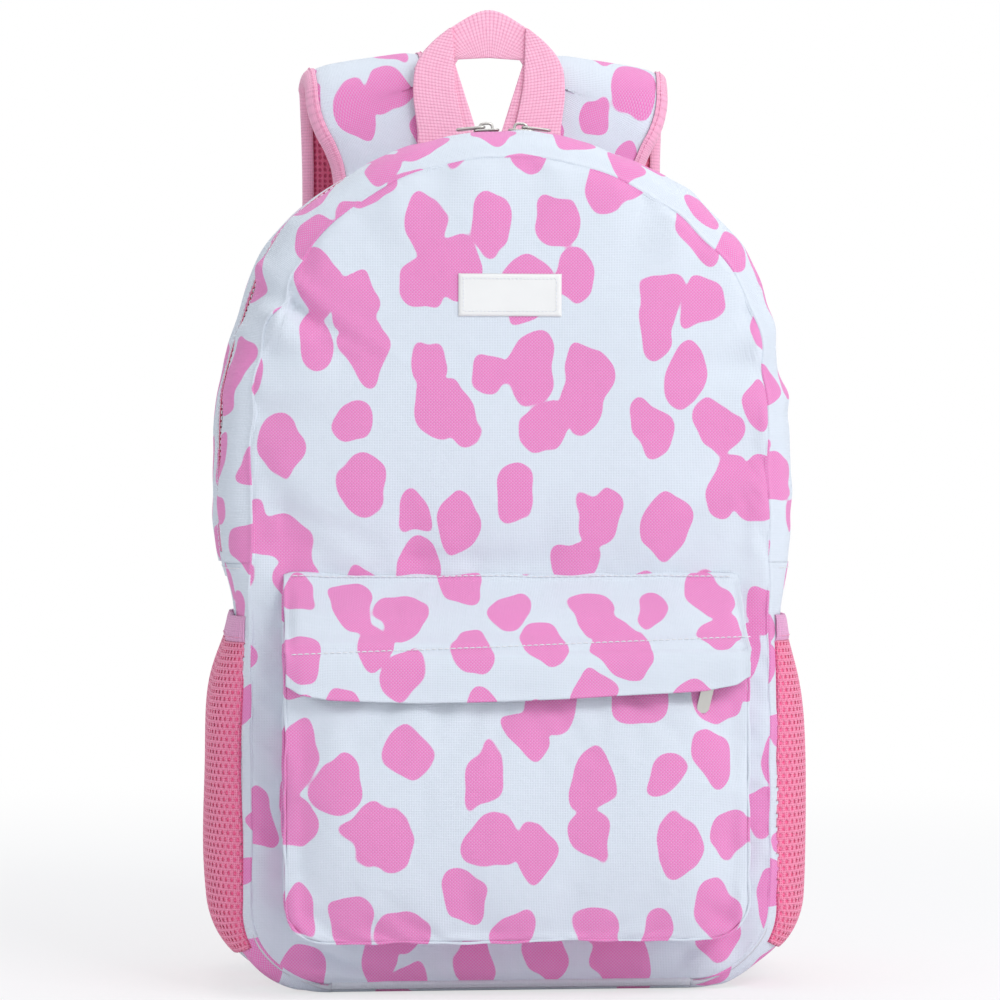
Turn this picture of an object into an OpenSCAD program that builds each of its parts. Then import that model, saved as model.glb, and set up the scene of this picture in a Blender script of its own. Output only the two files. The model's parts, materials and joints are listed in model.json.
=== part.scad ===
// School backpack: arched, zipped main compartment, front pocket with a flap
// over its zip, two elastic-topped mesh side pockets, padded shoulder straps
// and a webbing grab handle.
// +Z up, +X to the right as seen from the front, the front faces -Y.
// The origin is the middle of the base, on the surface that the bag stands on.

/* [Main body] */
// Height of the body, without handle and straps
body_h = 428; // [400:5:480]
// Width over the gussets
body_w = 288; // [270:1:310]
// Depth between the front and back seams
body_d = 130; // [110:2:160]
// How far the gusset stands out from the seams
bulge = 15; // [10:1:18]
// Width of the flat run in the middle of the gusset
flat_w = 72; // [66:2:84]
// How much the crown's radius exceeds half the width: 0 is a round arch
crown_flat = 11; // [2:0.5:40]
// Radius of the shoulders of the arch, at the seam
shoulder_r = 58; // [44:1:66]
// Radius of the bottom corners at the seam
corner_r = 40; // [30:1:46]
// Height of the bottom seam above the base
seam_lift = 5; // [3:0.5:8]
// Height of the line that the front cover folds about
fold_z = 212; // [205:1:225]
// Thickness of the gusset and side cloth
cloth_t = 2; // [1.4:0.1:2.6]
// Thickness of the front panel
front_t = 2.5; // [2:0.1:3.5]
// Thickness of the stiffened back panel
back_t = 3; // [2:0.5:5]
// Radius of the piping in the front seam
piping_r = 1.6; // [1.2:0.1:2]

/* [Main zip] */
// Distance of the zip in front of the middle of the gusset
zip_y = 20; // [16:1:21]
// Gap between the two cloth edges that show the zip
zip_show = 14; // [13:0.5:16]
// Width of each tape
tape_w = 15; // [12:0.5:15.5]
// Thickness of each tape
tape_t = 0.8; // [0.6:0.1:1]
// Width of each half of the coil
coil_w = 2; // [1.6:0.1:2.4]
// Height of the coil
coil_h = 2.2; // [1.8:0.1:2.4]
// Gap between the halves, where the teeth mesh
coil_gap = 1.8; // [1.6:0.1:2.2]

/* [Sliders and pulls] */
// Length of a main slider
slider_l = 13; // [11:0.5:15]
// Width of a main slider
slider_w = 10; // [9.5:0.1:11]
// Thickness of the slider plates
plate_t = 1.1; // [0.9:0.1:1.3]
// Distance from the middle to each closed slider
slider_x = 8.5; // [8.5:0.5:14]
// Room for the half chain to leave the open side
leave_room = 1.6; // [1.4:0.1:2]
// Thickness of the bail wire
bail_t = 1.6; // [1.3:0.1:2]
// Clear height under the bail
bail_h = 2.6; // [2.4:0.1:3.5]
// Length of a main pull
pull_l = 15; // [12:0.5:24]
// Length of the pocket pull
pocket_pull_l = 24; // [20:0.5:28]
// Width of a pull
pull_w = 6; // [5.6:0.2:7]
// Thickness of a pull
pull_t = 1.4; // [1.2:0.1:1.8]

/* [Front pocket] */
// Width of the pocket
pocket_w = 224; // [200:2:236]
// Height of the pocket's bottom seam
pocket_z0 = 30; // [22:1:40]
// Height of its seam with the front panel
pocket_z1 = 206; // [195:1:210]
// Height of the pocket zip
pocket_zip_z = 163; // [155:1:170]
// Depth of the pocket at its zip
pocket_d = 33; // [26:1:44]
// How far the face swells
pocket_puff = 10; // [6:0.5:14]
// Thickness of the pocket cloth
pocket_t = 1.6; // [1.2:0.1:2.2]
// Radius of the pocket's bottom corners
pocket_r = 18; // [10:1:28]
// Height of the flap over the zip
flap_h = 27; // [24:1:32]
// Distance of the parked slider from the pocket's side
pocket_park = 20; // [16:1:40]

/* [Side pockets] */
// Height of the elastic mouth
side_z1 = 186; // [165:1:200]
// Height of the bottom seam
side_z0 = 20; // [16:1:30]
// How far the mesh stands off the side
side_puff = 10.5; // [7.5:0.5:16]
// Thickness of the mesh
mesh_t = 1.2; // [1:0.1:1.6]
// Width of the elastic band
elastic_w = 13; // [8:1:18]
// Thickness of the elastic band
elastic_t = 1.8; // [1.4:0.1:2.4]

/* [Shoulder straps] */
// Width of a strap at the shoulder
strap_w = 70; // [60:1:72]
// Width of a strap at its lower end
strap_w2 = 50; // [44:1:60]
// Thickness of the padded, printed layer
strap_pad = 8.5; // [6:0.5:10]
// Thickness of the mesh layer
strap_mesh = 3; // [2:0.5:4]
// Distance from the middle of the bag to the middle of a strap, at its root
strap_x = 46; // [42:1:54]
// How far the straps lean out on their way down
strap_spread = 38; // [20:1:44]
// How far the curl of the straps stands above the body
strap_rise = 46; // [40:1:60]
// How far the straps roll outwards over their curl
strap_tilt = 9; // [0:1:14]
// Drop of the padded strap behind the bag
strap_drop = 290; // [240:5:310]
// Width of all webbing
web_w = 25; // [20:1:27]
// Thickness of the webbing
web_t = 1.5; // [1.2:0.1:1.8]
// Length of the loose webbing tail
tail_l = 62; // [40:2:90]

/* [Grab handle] */
// Height of the handle above its hinge line
handle_h = 72; // [60:1:86]
// Half width of the handle at its base
handle_hw = 38; // [35:0.5:44]

/* [Back pads] */
// Thickness of the back pads
pad_t = 6; // [5:0.5:12]

/* [Label] */
// Width of the bare patch
label_w = 51; // [40:1:70]
// Height of the patch
label_h = 21; // [16:0.5:30]
// Height of the patch's middle
label_z = 347; // [320:1:370]

/* [Hidden] */

cloth = [0.90, 0.93, 0.96];
pink = [0.96, 0.62, 0.78];
deep_pink = [0.93, 0.45, 0.62];
metal = [0.78, 0.78, 0.80];
gap = 0.3;                                  // clearance between bodies

hd = body_d / 2;                            // half depth, to the seams
hw = body_w / 2 - bulge;                    // half width at the seams
seam_r = hw + crown_flat;                   // crown radius at the seam
crown_z = body_h - bulge - seam_r;          // height of the crown's centre
// The shoulder arcs are tangent to the crown and to the straight sides.
shoulder_x = hw - shoulder_r;
crown_a = asin(shoulder_x / (seam_r - shoulder_r));
shoulder_z = crown_z + (seam_r - shoulder_r) * cos(crown_a);

// Outer profile of the gusset: [distance out from the seam, y].
round_n = 5;
function round_pt(k) = let (a = 90 * k / round_n)
    [bulge * sin(a), flat_w / 2 + (hd - flat_w / 2) * cos(a)];
prof_ys = concat([for (k = [0:round_n]) -round_pt(k)[1]],
                 [for (k = [round_n:-1:0]) round_pt(k)[1]]);
function prof_p(y) = abs(y) <= flat_w / 2 ? bulge : lookup(abs(y),
    [for (k = [round_n:-1:0]) [round_pt(k)[1], round_pt(k)[0]]]);
function ys_between(a, b) = concat([a], [for (y = prof_ys) if (y > a + 0.01 && y < b - 0.01) y], [b]);
// Band of cloth between two y values and two offsets from the outer profile.
function band(y0, y1, o0, o1) = let (ys = ys_between(y0, y1))
    concat([for (y = ys) [prof_p(y) + o1, y]],
           [for (i = [len(ys) - 1:-1:0]) [prof_p(ys[i]) + o0, ys[i]]]);

// Runs a [distance out, y] outline along the arch, down to z0 on both sides.
// The crown ends a hair short of the shoulders, so that two curved solids never
// meet on nearly equal faces.
module arch_run(pts, z0) {
    moved = function (r) [for (p = pts) [p[0] + r, p[1]]];
    hair = 0.01;
    translate([0, 0, crown_z]) rotate([-90, 0, 0]) rotate([0, 0, hair - 90 - crown_a])
        rotate_extrude(angle = 2 * (crown_a - hair), $fn = 120) polygon(moved(seam_r));
    for (s = [0, 1]) mirror([s, 0, 0]) {
        // starts on the level plane where the straight side ends
        translate([shoulder_x, 0, shoulder_z]) rotate([90, 0, 0])
            rotate_extrude(angle = 90 - crown_a, $fn = 120)
            polygon([for (p = pts) [p[0] + shoulder_r, -p[1]]]);
        translate([0, 0, z0]) linear_extrude(shoulder_z - z0) polygon(moved(hw));
    }
}

// Area inside the seam line, in x and z, between two heights.
module arch_area(z0, z1, grow = 0) {
    intersection() {
        union() {
            intersection() {
                translate([0, crown_z]) circle(seam_r + grow, $fn = 120);
                polygon([[0, crown_z], [body_h * tan(crown_a), crown_z + body_h],
                         [-body_h * tan(crown_a), crown_z + body_h]]);
            }
            for (s = [-1, 1]) translate([s * shoulder_x, shoulder_z])
                circle(shoulder_r + grow, $fn = 96);
            translate([-hw - grow, seam_lift + corner_r])
                square([2 * (hw + grow), shoulder_z - seam_lift - corner_r]);
            translate([corner_r - hw, seam_lift - grow])
                square([2 * (hw - corner_r), corner_r + grow + 1]);
            for (s = [-1, 1]) translate([s * (hw - corner_r), seam_lift + corner_r])
                circle(corner_r + grow, $fn = 96);
        }
        translate([-hw - 50, z0]) square([2 * hw + 100, z1 - z0]);
    }
}
// Draws an x-z area as a plate from y0 to y1.
module plate(y0, y1) {
    translate([0, y1, 0]) rotate([90, 0, 0]) linear_extrude(y1 - y0) children();
}

// Six times the signed volume of a triangle mesh, to turn its faces outward.
function vol6(p, f) = let (v = [for (t = f) cross(p[t[0]], p[t[1]]) * p[t[2]]])
    v * [for (t = f) 1];
// Closed sheet between two surfaces over the same grid.
module sheet(us, vs, outer, inner) {
    nu = len(us);
    nv = len(vs);
    pts = concat([for (u = us) for (v = vs) outer(u, v)],
                 [for (u = us) for (v = vs) inner(u, v)]);
    id = function (k, i, j) (k * nu + i) * nv + j;
    quad = function (a, b, c, d) [[a, b, c], [a, c, d]];
    rim = concat([for (i = [0:nu - 1]) [i, 0]], [for (j = [1:nv - 1]) [nu - 1, j]],
                 [for (i = [nu - 2:-1:0]) [i, nv - 1]], [for (j = [nv - 2:-1:1]) [0, j]]);
    faces = concat(
        [for (i = [0:nu - 2]) for (j = [0:nv - 2]) each
            quad(id(0, i, j), id(0, i + 1, j), id(0, i + 1, j + 1), id(0, i, j + 1))],
        [for (i = [0:nu - 2]) for (j = [0:nv - 2]) each
            quad(id(1, i, j), id(1, i, j + 1), id(1, i + 1, j + 1), id(1, i + 1, j))],
        [for (k = [0:len(rim) - 1]) let (a = rim[k], b = rim[(k + 1) % len(rim)]) each
            quad(id(0, b[0], b[1]), id(0, a[0], a[1]), id(1, a[0], a[1]), id(1, b[0], b[1]))]);
    // vol6 < 0 here means that the faces already turn the way OpenSCAD wants.
    polyhedron(pts, vol6(pts, faces) < 0 ? faces : [for (t = faces) [t[2], t[1], t[0]]]);
}
function steps(a, b, n) = [for (i = [0:n]) a + (b - a) * i / n];

// ---- back ----
module back_panel() {
    color(cloth) plate(hd, hd + back_t) arch_area(0, body_h);
}
pad_top = body_h - 56;
pad_side = hw - 33;
module back_pads() {
    color(deep_pink) {
        for (s = [0, 1]) mirror([s, 0, 0]) {
            plate(hd + back_t, hd + back_t + pad_t) rounded(14, pad_side, 118, pad_top, 22);
        }
        plate(hd + back_t, hd + back_t + pad_t) rounded(-pad_side, pad_side, 28, 106, 22);
    }
}
// Rectangle with round corners, from x0,z0 to x1,z1.
module rounded(x0, x1, z0, z1, r) {
    translate([x0 + r, z0]) square([x1 - x0 - 2 * r, z1 - z0]);
    translate([x0, z0 + r]) square([x1 - x0, z1 - z0 - 2 * r]);
    for (x = [x0 + r, x1 - r]) for (z = [z0 + r, z1 - r])
        translate([x, z]) circle(r, $fn = 48);
}

// ---- gussets, zip, bottom ----
module band_run(y0, y1, z0) { arch_run(band(y0, y1, -cloth_t, 0), z0); }
module rear_zip_gusset() { color(cloth) band_run(zip_show / 2 - zip_y, hd, fold_z); }
module front_zip_gusset() { color(cloth) band_run(-hd, -zip_y - zip_show / 2, fold_z + gap); }
tape_o = bulge - cloth_t;                    // top of the tape, out from the seam
function box_prof(y0, y1, o0, o1) = [[o0, y0], [o0, y1], [o1, y1], [o1, y0]];
module box_run(y0, y1, o0, o1, z0) { arch_run(box_prof(y0, y1, o0, o1), z0); }
module rear_zip_tape() {
    color(pink) box_run(coil_gap / 2 - zip_y, tape_w - zip_y, tape_o - tape_t, tape_o, fold_z);
}
module rear_zip_coil() {
    color(deep_pink) box_run(coil_gap / 2 - zip_y, coil_gap / 2 + coil_w - zip_y,
                             tape_o, tape_o + coil_h, fold_z);
}
module front_zip_tape() {
    color(pink) box_run(-zip_y - tape_w, -zip_y - coil_gap / 2,
                        tape_o - tape_t, tape_o, fold_z + gap);
}
module front_zip_coil() {
    color(deep_pink) box_run(-zip_y - coil_gap / 2 - coil_w, -zip_y - coil_gap / 2,
                             tape_o, tape_o + coil_h, fold_z + gap);
}
// Lower gusset, from the fold line round the corner: the swell fades to the lift.
low_s = concat(steps(0, 1, 4), [for (k = [1:6]) 1 + k / 6]);
function low_at(s, off) = s <= 1
    ? [hw + off, fold_z + (seam_lift + corner_r - fold_z) * s]
    : let (a = 90 * (s - 1)) [hw - corner_r + (corner_r + off) * cos(a),
                              seam_lift + corner_r - (corner_r + off) * sin(a)];
function swell(s) = s <= 1 ? 1 : let (c = (1 - cos(180 * (s - 1))) / 2)
    1 + (seam_lift / bulge - 1) * c;
// The base is pressed flat, so its profile fills out towards the seams.
function flat_f(y) = 1 - pow(1 - prof_p(y) / bulge, 8);
function low_prof(s, y) = s <= 1 ? prof_p(y)
    : swell(s) * bulge * (prof_p(y) / bulge * (2 - s) + flat_f(y) * (s - 1));
module side_panel(side) {
    pt = function (s, y, o) let (p = low_at(s, low_prof(s, y) + o)) [side * p[0], y, p[1]];
    sheet(low_s, prof_ys, function (s, y) pt(s, y, 0), function (s, y) pt(s, y, -cloth_t));
}
module side_panel_left() { color(cloth) side_panel(-1); }
module side_panel_right() { color(cloth) side_panel(1); }
module bottom_panel() {
    pts = concat([for (y = prof_ys) [y, seam_lift * (1 - flat_f(y))]],
                 [for (i = [len(prof_ys) - 1:-1:0])
                     [prof_ys[i], seam_lift * (1 - flat_f(prof_ys[i])) + cloth_t]]);
    color(cloth) translate([corner_r - hw, 0, 0]) rotate([90, 0, 90])
        linear_extrude(2 * (hw - corner_r)) polygon(pts);
}

// ---- front ----
module front_panel_lower() {
    color(cloth) plate(-hd - front_t, -hd) arch_area(0, fold_z);
}
module front_panel_upper() {
    color(cloth) plate(-hd - front_t, -hd) arch_area(fold_z + gap, body_h);
}
pipe_o = piping_r + gap;                     // piping centre, out from the seam
pipe_y = -hd - piping_r + 0.4;
pipe_pts = [for (a = [18:36:359]) [pipe_o + piping_r * cos(a), pipe_y + piping_r * sin(a)]];
module piping_upper() {
    color(cloth) arch_run(pipe_pts, fold_z + gap);
}
module piping_lower() {
    z0 = seam_lift + corner_r;
    color(cloth) {
        for (s = [0, 1]) mirror([s, 0, 0]) {
            translate([hw, 0, z0]) linear_extrude(fold_z - z0) polygon(pipe_pts);
            translate([hw - corner_r, 0, z0]) rotate([-90, 0, 0])
                rotate_extrude(angle = 90, $fn = 96)
                polygon([for (p = pipe_pts) [p[0] + corner_r, p[1]]]);
        }
        translate([corner_r - hw, 0, seam_lift]) rotate([0, 90, 0])
            linear_extrude(2 * (hw - corner_r)) polygon(pipe_pts);
    }
}
module label_patch() {
    color("white") plate(-hd - front_t - 1.5, -hd - front_t)
        rounded(-label_w / 2, label_w / 2, label_z - label_h / 2, label_z + label_h / 2, 2);
}

// ---- front pocket ----
pk_hw = pocket_w / 2;
pk_back = -hd - front_t;                     // the front panel's outer face
pk_front = pk_back - pocket_d;               // plane of the pocket zip's tapes
zip2_coil_h = 1.8;
zip2_coil_w = 1.7;
zip2_gap = 1.7;
zip2_show = 6;                               // cloth edge to the zip's middle
module u_area(inset) {
    r = pocket_r - inset;
    x = pk_hw - inset;
    z = pocket_z0 + inset;
    translate([-x, z + r]) square([2 * x, pocket_zip_z + 40 - z - r]);
    translate([r - x, z]) square([2 * (x - r), r + 1]);
    for (s = [-1, 1]) translate([s * (x - r), z + r]) circle(r, $fn = 48);
}
// The gusset's upper edge follows the slope of the pocket's top.
top_z = pocket_zip_z + zip2_show;            // cloth edge above the zip
module pocket_gusset() {
    color(cloth) intersection() {
        plate(pk_front, pk_back) difference() {
            u_area(0);
            u_area(pocket_t);
        }
        translate([-pk_hw - 5, 0, 0]) rotate([90, 0, 90]) linear_extrude(pocket_w + 10)
            polygon([[pk_front, 0], [pk_back, 0], [pk_back, pocket_z1 - pocket_t],
                     [pk_front, top_z - pocket_t]]);
    }
}
face_z = pocket_zip_z - zip2_show;           // top edge of the face
function puff(x, z) = let (a = abs(x) / pk_hw, t = (z - pocket_z0) / (face_z - pocket_z0))
    pocket_puff * pow(1 - pow(min(a, 1), 6), 0.5)
        * pow(sin(180 * pow(min(max(t, 0), 1), 0.7)), 1.3);
function face_x(u, z) = let (d = max(0, pocket_z0 + pocket_r - z))
    u * (pk_hw - pocket_r + sqrt(pocket_r * pocket_r - d * d));
face_us = [-1, -0.97, -0.88, -0.7, -0.45, -0.15, 0.15, 0.45, 0.7, 0.88, 0.97, 1];
module pocket_face() {
    r = pocket_r;
    vs = concat([for (a = [12, 40, 65, 90]) pocket_z0 + r * (1 - cos(a))],
                steps(pocket_z0 + r, face_z, 7));
    zs = [for (i = [0:len(vs) - 1]) if (i != 4) vs[i]];
    color(cloth) sheet(face_us, zs,
        function (u, z) [face_x(u, z), pk_front - pocket_t - puff(face_x(u, z), z), z],
        function (u, z) [face_x(u, z), pk_front - puff(face_x(u, z), z), z]);
}
module pocket_top() {
    color(cloth) sheet(steps(-pk_hw, pk_hw, 8), [0, 0.33, 0.66, 1],
        function (x, v) [x, pk_back + (pk_front - pk_back) * v,
                         pocket_z1 + (top_z - pocket_z1) * v + 2 * sin(180 * v)],
        function (x, v) [x, pk_back + (pk_front - pk_back) * v,
                         pocket_z1 - pocket_t + (top_z - pocket_z1) * v + 2 * sin(180 * v)]);
}
// The flap starts on the pocket's top edge and hangs in front of the zip.
flap_out = 8;                                // flap's inner face, out from the tapes
module pocket_flap() {
    sag = function (x) 3 * (1 - pow(x / pk_hw, 2));
    // inner face, as [out from the tapes, up from the pocket top's front edge]
    path = [[-4, 5.5], [0, 0.3], [4, 0], [flap_out, -1.6], [flap_out + 0.8, -10],
            [flap_out + 1, 4 - flap_h]];
    n = len(path) - 1;
    out = function (v) let (t = unit(path[min(v + 1, n)] - path[max(v - 1, 0)])) [-t[1], t[0]] * pocket_t;
    pt = function (x, v, o) [x, pk_front - path[v][0] - o[0],
                             top_z + path[v][1] + o[1] - (v == n ? sag(x) : 0)];
    color(cloth) sheet(steps(-pk_hw, pk_hw, 10), [for (v = [0:n]) v],
        function (x, v) pt(x, v, out(v)), function (x, v) pt(x, v, [0, 0]));
}
module zip2_box(z0, z1, y0, y1) {
    translate([-pk_hw + 3, pk_front - y1, pocket_zip_z + z0])
        cube([pocket_w - 6, y1 - y0, z1 - z0]);
}
module pocket_tape_upper() { color(pink) zip2_box(zip2_gap / 2, zip2_show - pocket_t, 0, tape_t); }
module pocket_tape_lower() { color(pink) zip2_box(-zip2_show, -zip2_gap / 2, 0, tape_t); }
module pocket_coil_upper() {
    color(deep_pink) zip2_box(zip2_gap / 2, zip2_gap / 2 + zip2_coil_w, tape_t, tape_t + zip2_coil_h);
}
module pocket_coil_lower() {
    color(deep_pink) zip2_box(-zip2_gap / 2 - zip2_coil_w, -zip2_gap / 2, tape_t, tape_t + zip2_coil_h);
}

// ---- side pockets ----
side_ys = [for (y = prof_ys) y * 0.94];
function side_z(s) = side_z0 + (side_z1 - side_z0) * s;
// Body outline that the mesh follows, as the path parameter for a height.
function low_of(z) = z >= seam_lift + corner_r
    ? (fold_z - z) / (fold_z - seam_lift - corner_r)
    : 1 + asin((seam_lift + corner_r - z) / (corner_r + bulge * 0.75)) / 90;
function stand(s, y) = side_puff * pow(1 - pow(abs(y) / (0.94 * hd), 2.6), 0.6)
    * pow(sin(180 * (0.06 + 0.70 * s)), 0.9);
module mesh_sheet(side, s0, s1, n, o0, o1, ys) {
    pt = function (s, y, o) let (q = low_of(side_z(s)),
        p = low_at(q, low_prof(q, y) + gap / 3 + stand(s, y) + o)) [side * p[0], y, p[1]];
    sheet(steps(s0, s1, n), ys, function (s, y) pt(s, y, o1), function (s, y) pt(s, y, o0));
}
side_top = 1 - elastic_w / (side_z1 - side_z0);
module side_pocket_left() { color(pink) mesh_sheet(-1, 0, side_top, 9, 0, mesh_t, side_ys); }
module side_pocket_right() { color(pink) mesh_sheet(1, 0, side_top, 9, 0, mesh_t, side_ys); }
module side_elastic_left() { color(deep_pink) mesh_sheet(-1, side_top, 1, 2, 0, elastic_t, side_ys); }
module side_elastic_right() { color(deep_pink) mesh_sheet(1, side_top, 1, 2, 0, elastic_t, side_ys); }

// ---- shoulder straps ----
strap_y = hd + back_t + 1;                   // front face where the strap starts
strap_t = strap_pad + strap_mesh;
curl = 19;                                   // radius of the curl at mid thickness
strap_top = body_h + strap_rise;             // height of the curl's centre line
strap_mid = strap_y + strap_t / 2;
curl_x = strap_x + 0.42 * strap_spread;
strap_back = strap_mid + 2 * curl + 2;       // behind the curl
strap_end = [strap_x + strap_spread, strap_back - 13, body_h - strap_drop];
// Centre line of the right strap: [x, y, z], with the print on the outside.
strap_route = concat(
    [[strap_x, strap_mid, body_h - 0.84 * strap_rise], [strap_x + 1, strap_mid, body_h - 0.44 * strap_rise],
     [strap_x + 4, strap_mid + 0.5, body_h], [curl_x - 6, strap_mid + 1, body_h + 0.34 * strap_rise]],
    [for (a = [0:22.5:180]) [curl_x + 4 * a / 180, strap_mid + 2 + curl * (1 - cos(a)),
        strap_top - curl + curl * sin(a)]],
    [for (t = [0.04, 0.2, 0.4, 0.6, 0.78, 0.9, 1]) let (x0 = curl_x + 4)
        [x0 + (strap_end[0] - x0) * pow(t, 1.4), strap_back + (strap_end[1] - strap_back) * t,
         body_h + (strap_end[2] - body_h) * t]]);
function unit(v) = v / norm(v);
function tangent(r, i) = unit(r[min(i + 1, len(r) - 1)] - r[max(i - 1, 0)]);
function strap_half(i) = let (n = len(strap_route) - 1)
    (strap_w + (strap_w2 - strap_w) * pow(max(0, (i - 11) / (n - 11)), 0.8)) / 2;
// Across rolls outwards over the curl; n points out of the curl, to the printed side.
strap_lean = [cos(strap_tilt), 0, -sin(strap_tilt)];
function strap_pt(i, a, o) = let (r = strap_route, t = tangent(r, i),
        w = unit(strap_lean - (t * strap_lean) * t), n = cross(w, t))
    r[i] + a * w + o * n;
module strap_layer(side, us, o0, o1, crown) {
    pt = function (i, u, o) let (p = strap_pt(i, u * strap_half(i), o)) [side * p[0], p[1], p[2]];
    sheet([for (i = [0:len(strap_route) - 1]) i], us,
        function (i, u) pt(i, u, o1 + crown * (1 - u * u)),
        function (i, u) pt(i, u, o0));
}
pad_u = 0.86;                                // share of the half width that foam and mesh fill
bind_u = pad_u + 0.01;                       // the binding's seam clears them by a hair
pad_us = [-pad_u, -0.5, 0, 0.5, pad_u];
module strap_pad(side) {
    strap_layer(side, pad_us, strap_mesh - strap_t / 2, strap_t / 2 - 1.2, 1.2);
}
module strap_mesh(side) {
    strap_layer(side, pad_us, -strap_t / 2, strap_mesh - strap_t / 2, 0);
}
module strap_pad_left() { color(cloth) strap_pad(-1); }
module strap_pad_right() { color(cloth) strap_pad(1); }
module strap_mesh_left() { color(deep_pink) strap_mesh(-1); }
module strap_mesh_right() { color(deep_pink) strap_mesh(1); }
module strap_binding(side) {
    for (e = [-1, 1]) strap_layer(side, e < 0 ? [-1, -bind_u] : [bind_u, 1],
                                  -strap_t / 2 + 0.5, strap_t / 2 - 1.2, 0);
}
module strap_binding_left() { color(pink) strap_binding(-1); }
module strap_binding_right() { color(pink) strap_binding(1); }
module strap_yoke() {
    // Strip that covers the sewn ends of both straps, below the top seam.
    y0 = strap_y + strap_t + gap;
    color(cloth) plate(y0, y0 + 2) rounded(-strap_x - strap_w * 0.54, strap_x + strap_w * 0.54,
                                       body_h - 0.88 * strap_rise, body_h - 0.52 * strap_rise, 4);
}

// ---- buckles and webbing ----
lock_x = strap_end[0] + 3;
lock_y = strap_end[1] - 1;
lock_z = strap_end[2] - 22;                  // height of the buckle's top bar
lock_a = -14;                                // the webbing runs out to the corner
// Places a piece drawn with its top bar along X at the origin.
module at_lock(side) {
    mirror([side < 0 ? 1 : 0, 0, 0]) translate([lock_x, lock_y, lock_z]) rotate([0, lock_a, 0]) children();
}
bar_r = 2;                                   // the buckle's top and lower bar
grip_r = 2.2;                                // its grip bar, which the webbing turns over
grip_drop = 13;                              // grip bar below the top bar
low_drop = 25;                               // lower bar below the top bar
rail_w = 4;                                  // side rails: width, thickness and length
rail_t = 4.4;
rail_l = 31;
rail_over = 3;                               // how far they stand above the top bar
rail_x = web_w / 2 + 3;                      // middle of a rail
module bar_x(drop, r) {
    translate([-rail_x, 0, -drop]) rotate([0, 90, 0]) cylinder(r = r, h = 2 * rail_x, $fn = 32);
}
module ladder_lock() {
    color(pink) {
        bar_x(0, bar_r);
        bar_x(grip_drop, grip_r);
        bar_x(low_drop, bar_r);
        for (s = [-1, 1]) translate([s * rail_x - rail_w / 2, -rail_t / 2, rail_over - rail_l])
            cube([rail_w, rail_t, rail_l]);
    }
}
module ladder_lock_left() { at_lock(-1) ladder_lock(); }
module ladder_lock_right() { at_lock(1) ladder_lock(); }
loop_r = bar_r + gap;                        // inside of the webbing round the top bar
loop_l = 19.8;                               // its legs, up to the strap's end
module loop_solid(r, w, l) {
    rotate([0, 90, 0]) cylinder(r = r, h = w, center = true, $fn = 40);
    translate([-w / 2, -r, 0]) cube([w, 2 * r, l]);
}
module buckle_loop() {
    // Webbing round the top bar, sewn under the strap's end.
    color(pink) difference() {
        loop_solid(loop_r + web_t, web_w, loop_l);
        loop_solid(loop_r, web_w + 1, loop_l + 1);
    }
}
module buckle_loop_left() { at_lock(-1) buckle_loop(); }
module buckle_loop_right() { at_lock(1) buckle_loop(); }
tab_t = 2.5;                                 // thickness of the corner tab
web_run = [[-4.1, -100], [-4, -70], [-3.6, -45], [-3.4, -26], [-3.4, -14], [-2.7, -11], [-1.2, -9.2],
           [1.2, -9.2], [2.7, -11], [3.4, -14], [3.6, -26], [4.4, -38], [5, -60], [5, -38 - tail_l]];
module strap_webbing(side) {
    // The first point is the corner tab: the run leans back to meet it.
    n = len(web_run);
    off = function (i) let (t = unit(web_run[min(i + 1, n - 1)] - web_run[max(i - 1, 0)])) [-t[1], t[0]];
    reach = lock_y - hd - back_t - tab_t - gap - web_t / 2 + web_run[0][0];
    lean = function (i) i == 0 ? reach : i == 1 ? reach / 2 : i == 2 ? reach / 5 : 0;
    at_lock(side) color(pink) sheet([for (i = [0:n - 1]) i], [-web_w / 2, web_w / 2],
        function (i, x) let (p = web_run[i] + off(i) * web_t / 2) [x, p[0] - lean(i), p[1]],
        function (i, x) let (p = web_run[i] - off(i) * web_t / 2) [x, p[0] - lean(i), p[1]]);
}
module strap_webbing_left() { strap_webbing(-1); }
module strap_webbing_right() { strap_webbing(1); }
module corner_tab(side) {
    color(cloth) mirror([side < 0 ? 1 : 0, 0, 0]) plate(hd + back_t, hd + back_t + tab_t)
        polygon([[hw - 2, 20], [hw - 2, 48], [hw - 26, 34], [hw - 30, 14]]);
}
module corner_tab_left() { corner_tab(-1); }
module corner_tab_right() { corner_tab(1); }

// ---- handle ----
handle_y = hd + 0.2;                         // front face of the handle
handle_z = body_h + 3.5;                     // the line that it swings about
ply = 1.5;
function rise(t) = handle_h * t;
module handle_outline() {
    half = [[0, 0], [1, 0.2], [2.4, 0.42], [1.4, 0.56], [-2.5, 0.67], [-9, 0.77], [-17, 0.86],
            [-26, 0.94], [-32, 0.98], [-38, 1]];
    polygon(concat([for (p = half) [handle_hw + p[0], rise(p[1])]],
                   [for (i = [len(half) - 2:-1:0]) [-handle_hw - half[i][0], rise(half[i][1])]]));
}
module grab_handle() {
    color(pink) {
        // back layer, with the band across the top
        translate([0, 0, handle_z]) plate(handle_y + ply, handle_y + 2 * ply) difference() {
            handle_outline();
            polygon([[-4, -1], [-18, rise(0.6)], [-16, rise(0.64)], [16, rise(0.64)],
                     [18, rise(0.6)], [4, -1]]);
        }
        // the two front plies
        translate([0, 0, handle_z]) plate(handle_y, handle_y + ply) intersection() {
            handle_outline();
            for (s = [-1, 1]) polygon([[s * 11, -1], [s * 18, rise(0.42)], [s * 19, rise(1)],
                                       [s * 70, rise(1)], [s * 70, -1]]);
        }
        for (s = [-1, 1]) translate([s > 0 ? 11 : -handle_hw, handle_y + ply, handle_z])
            rotate([0, 90, 0]) cylinder(r = ply, h = handle_hw - 11, $fn = 24);
    }
}
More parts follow.
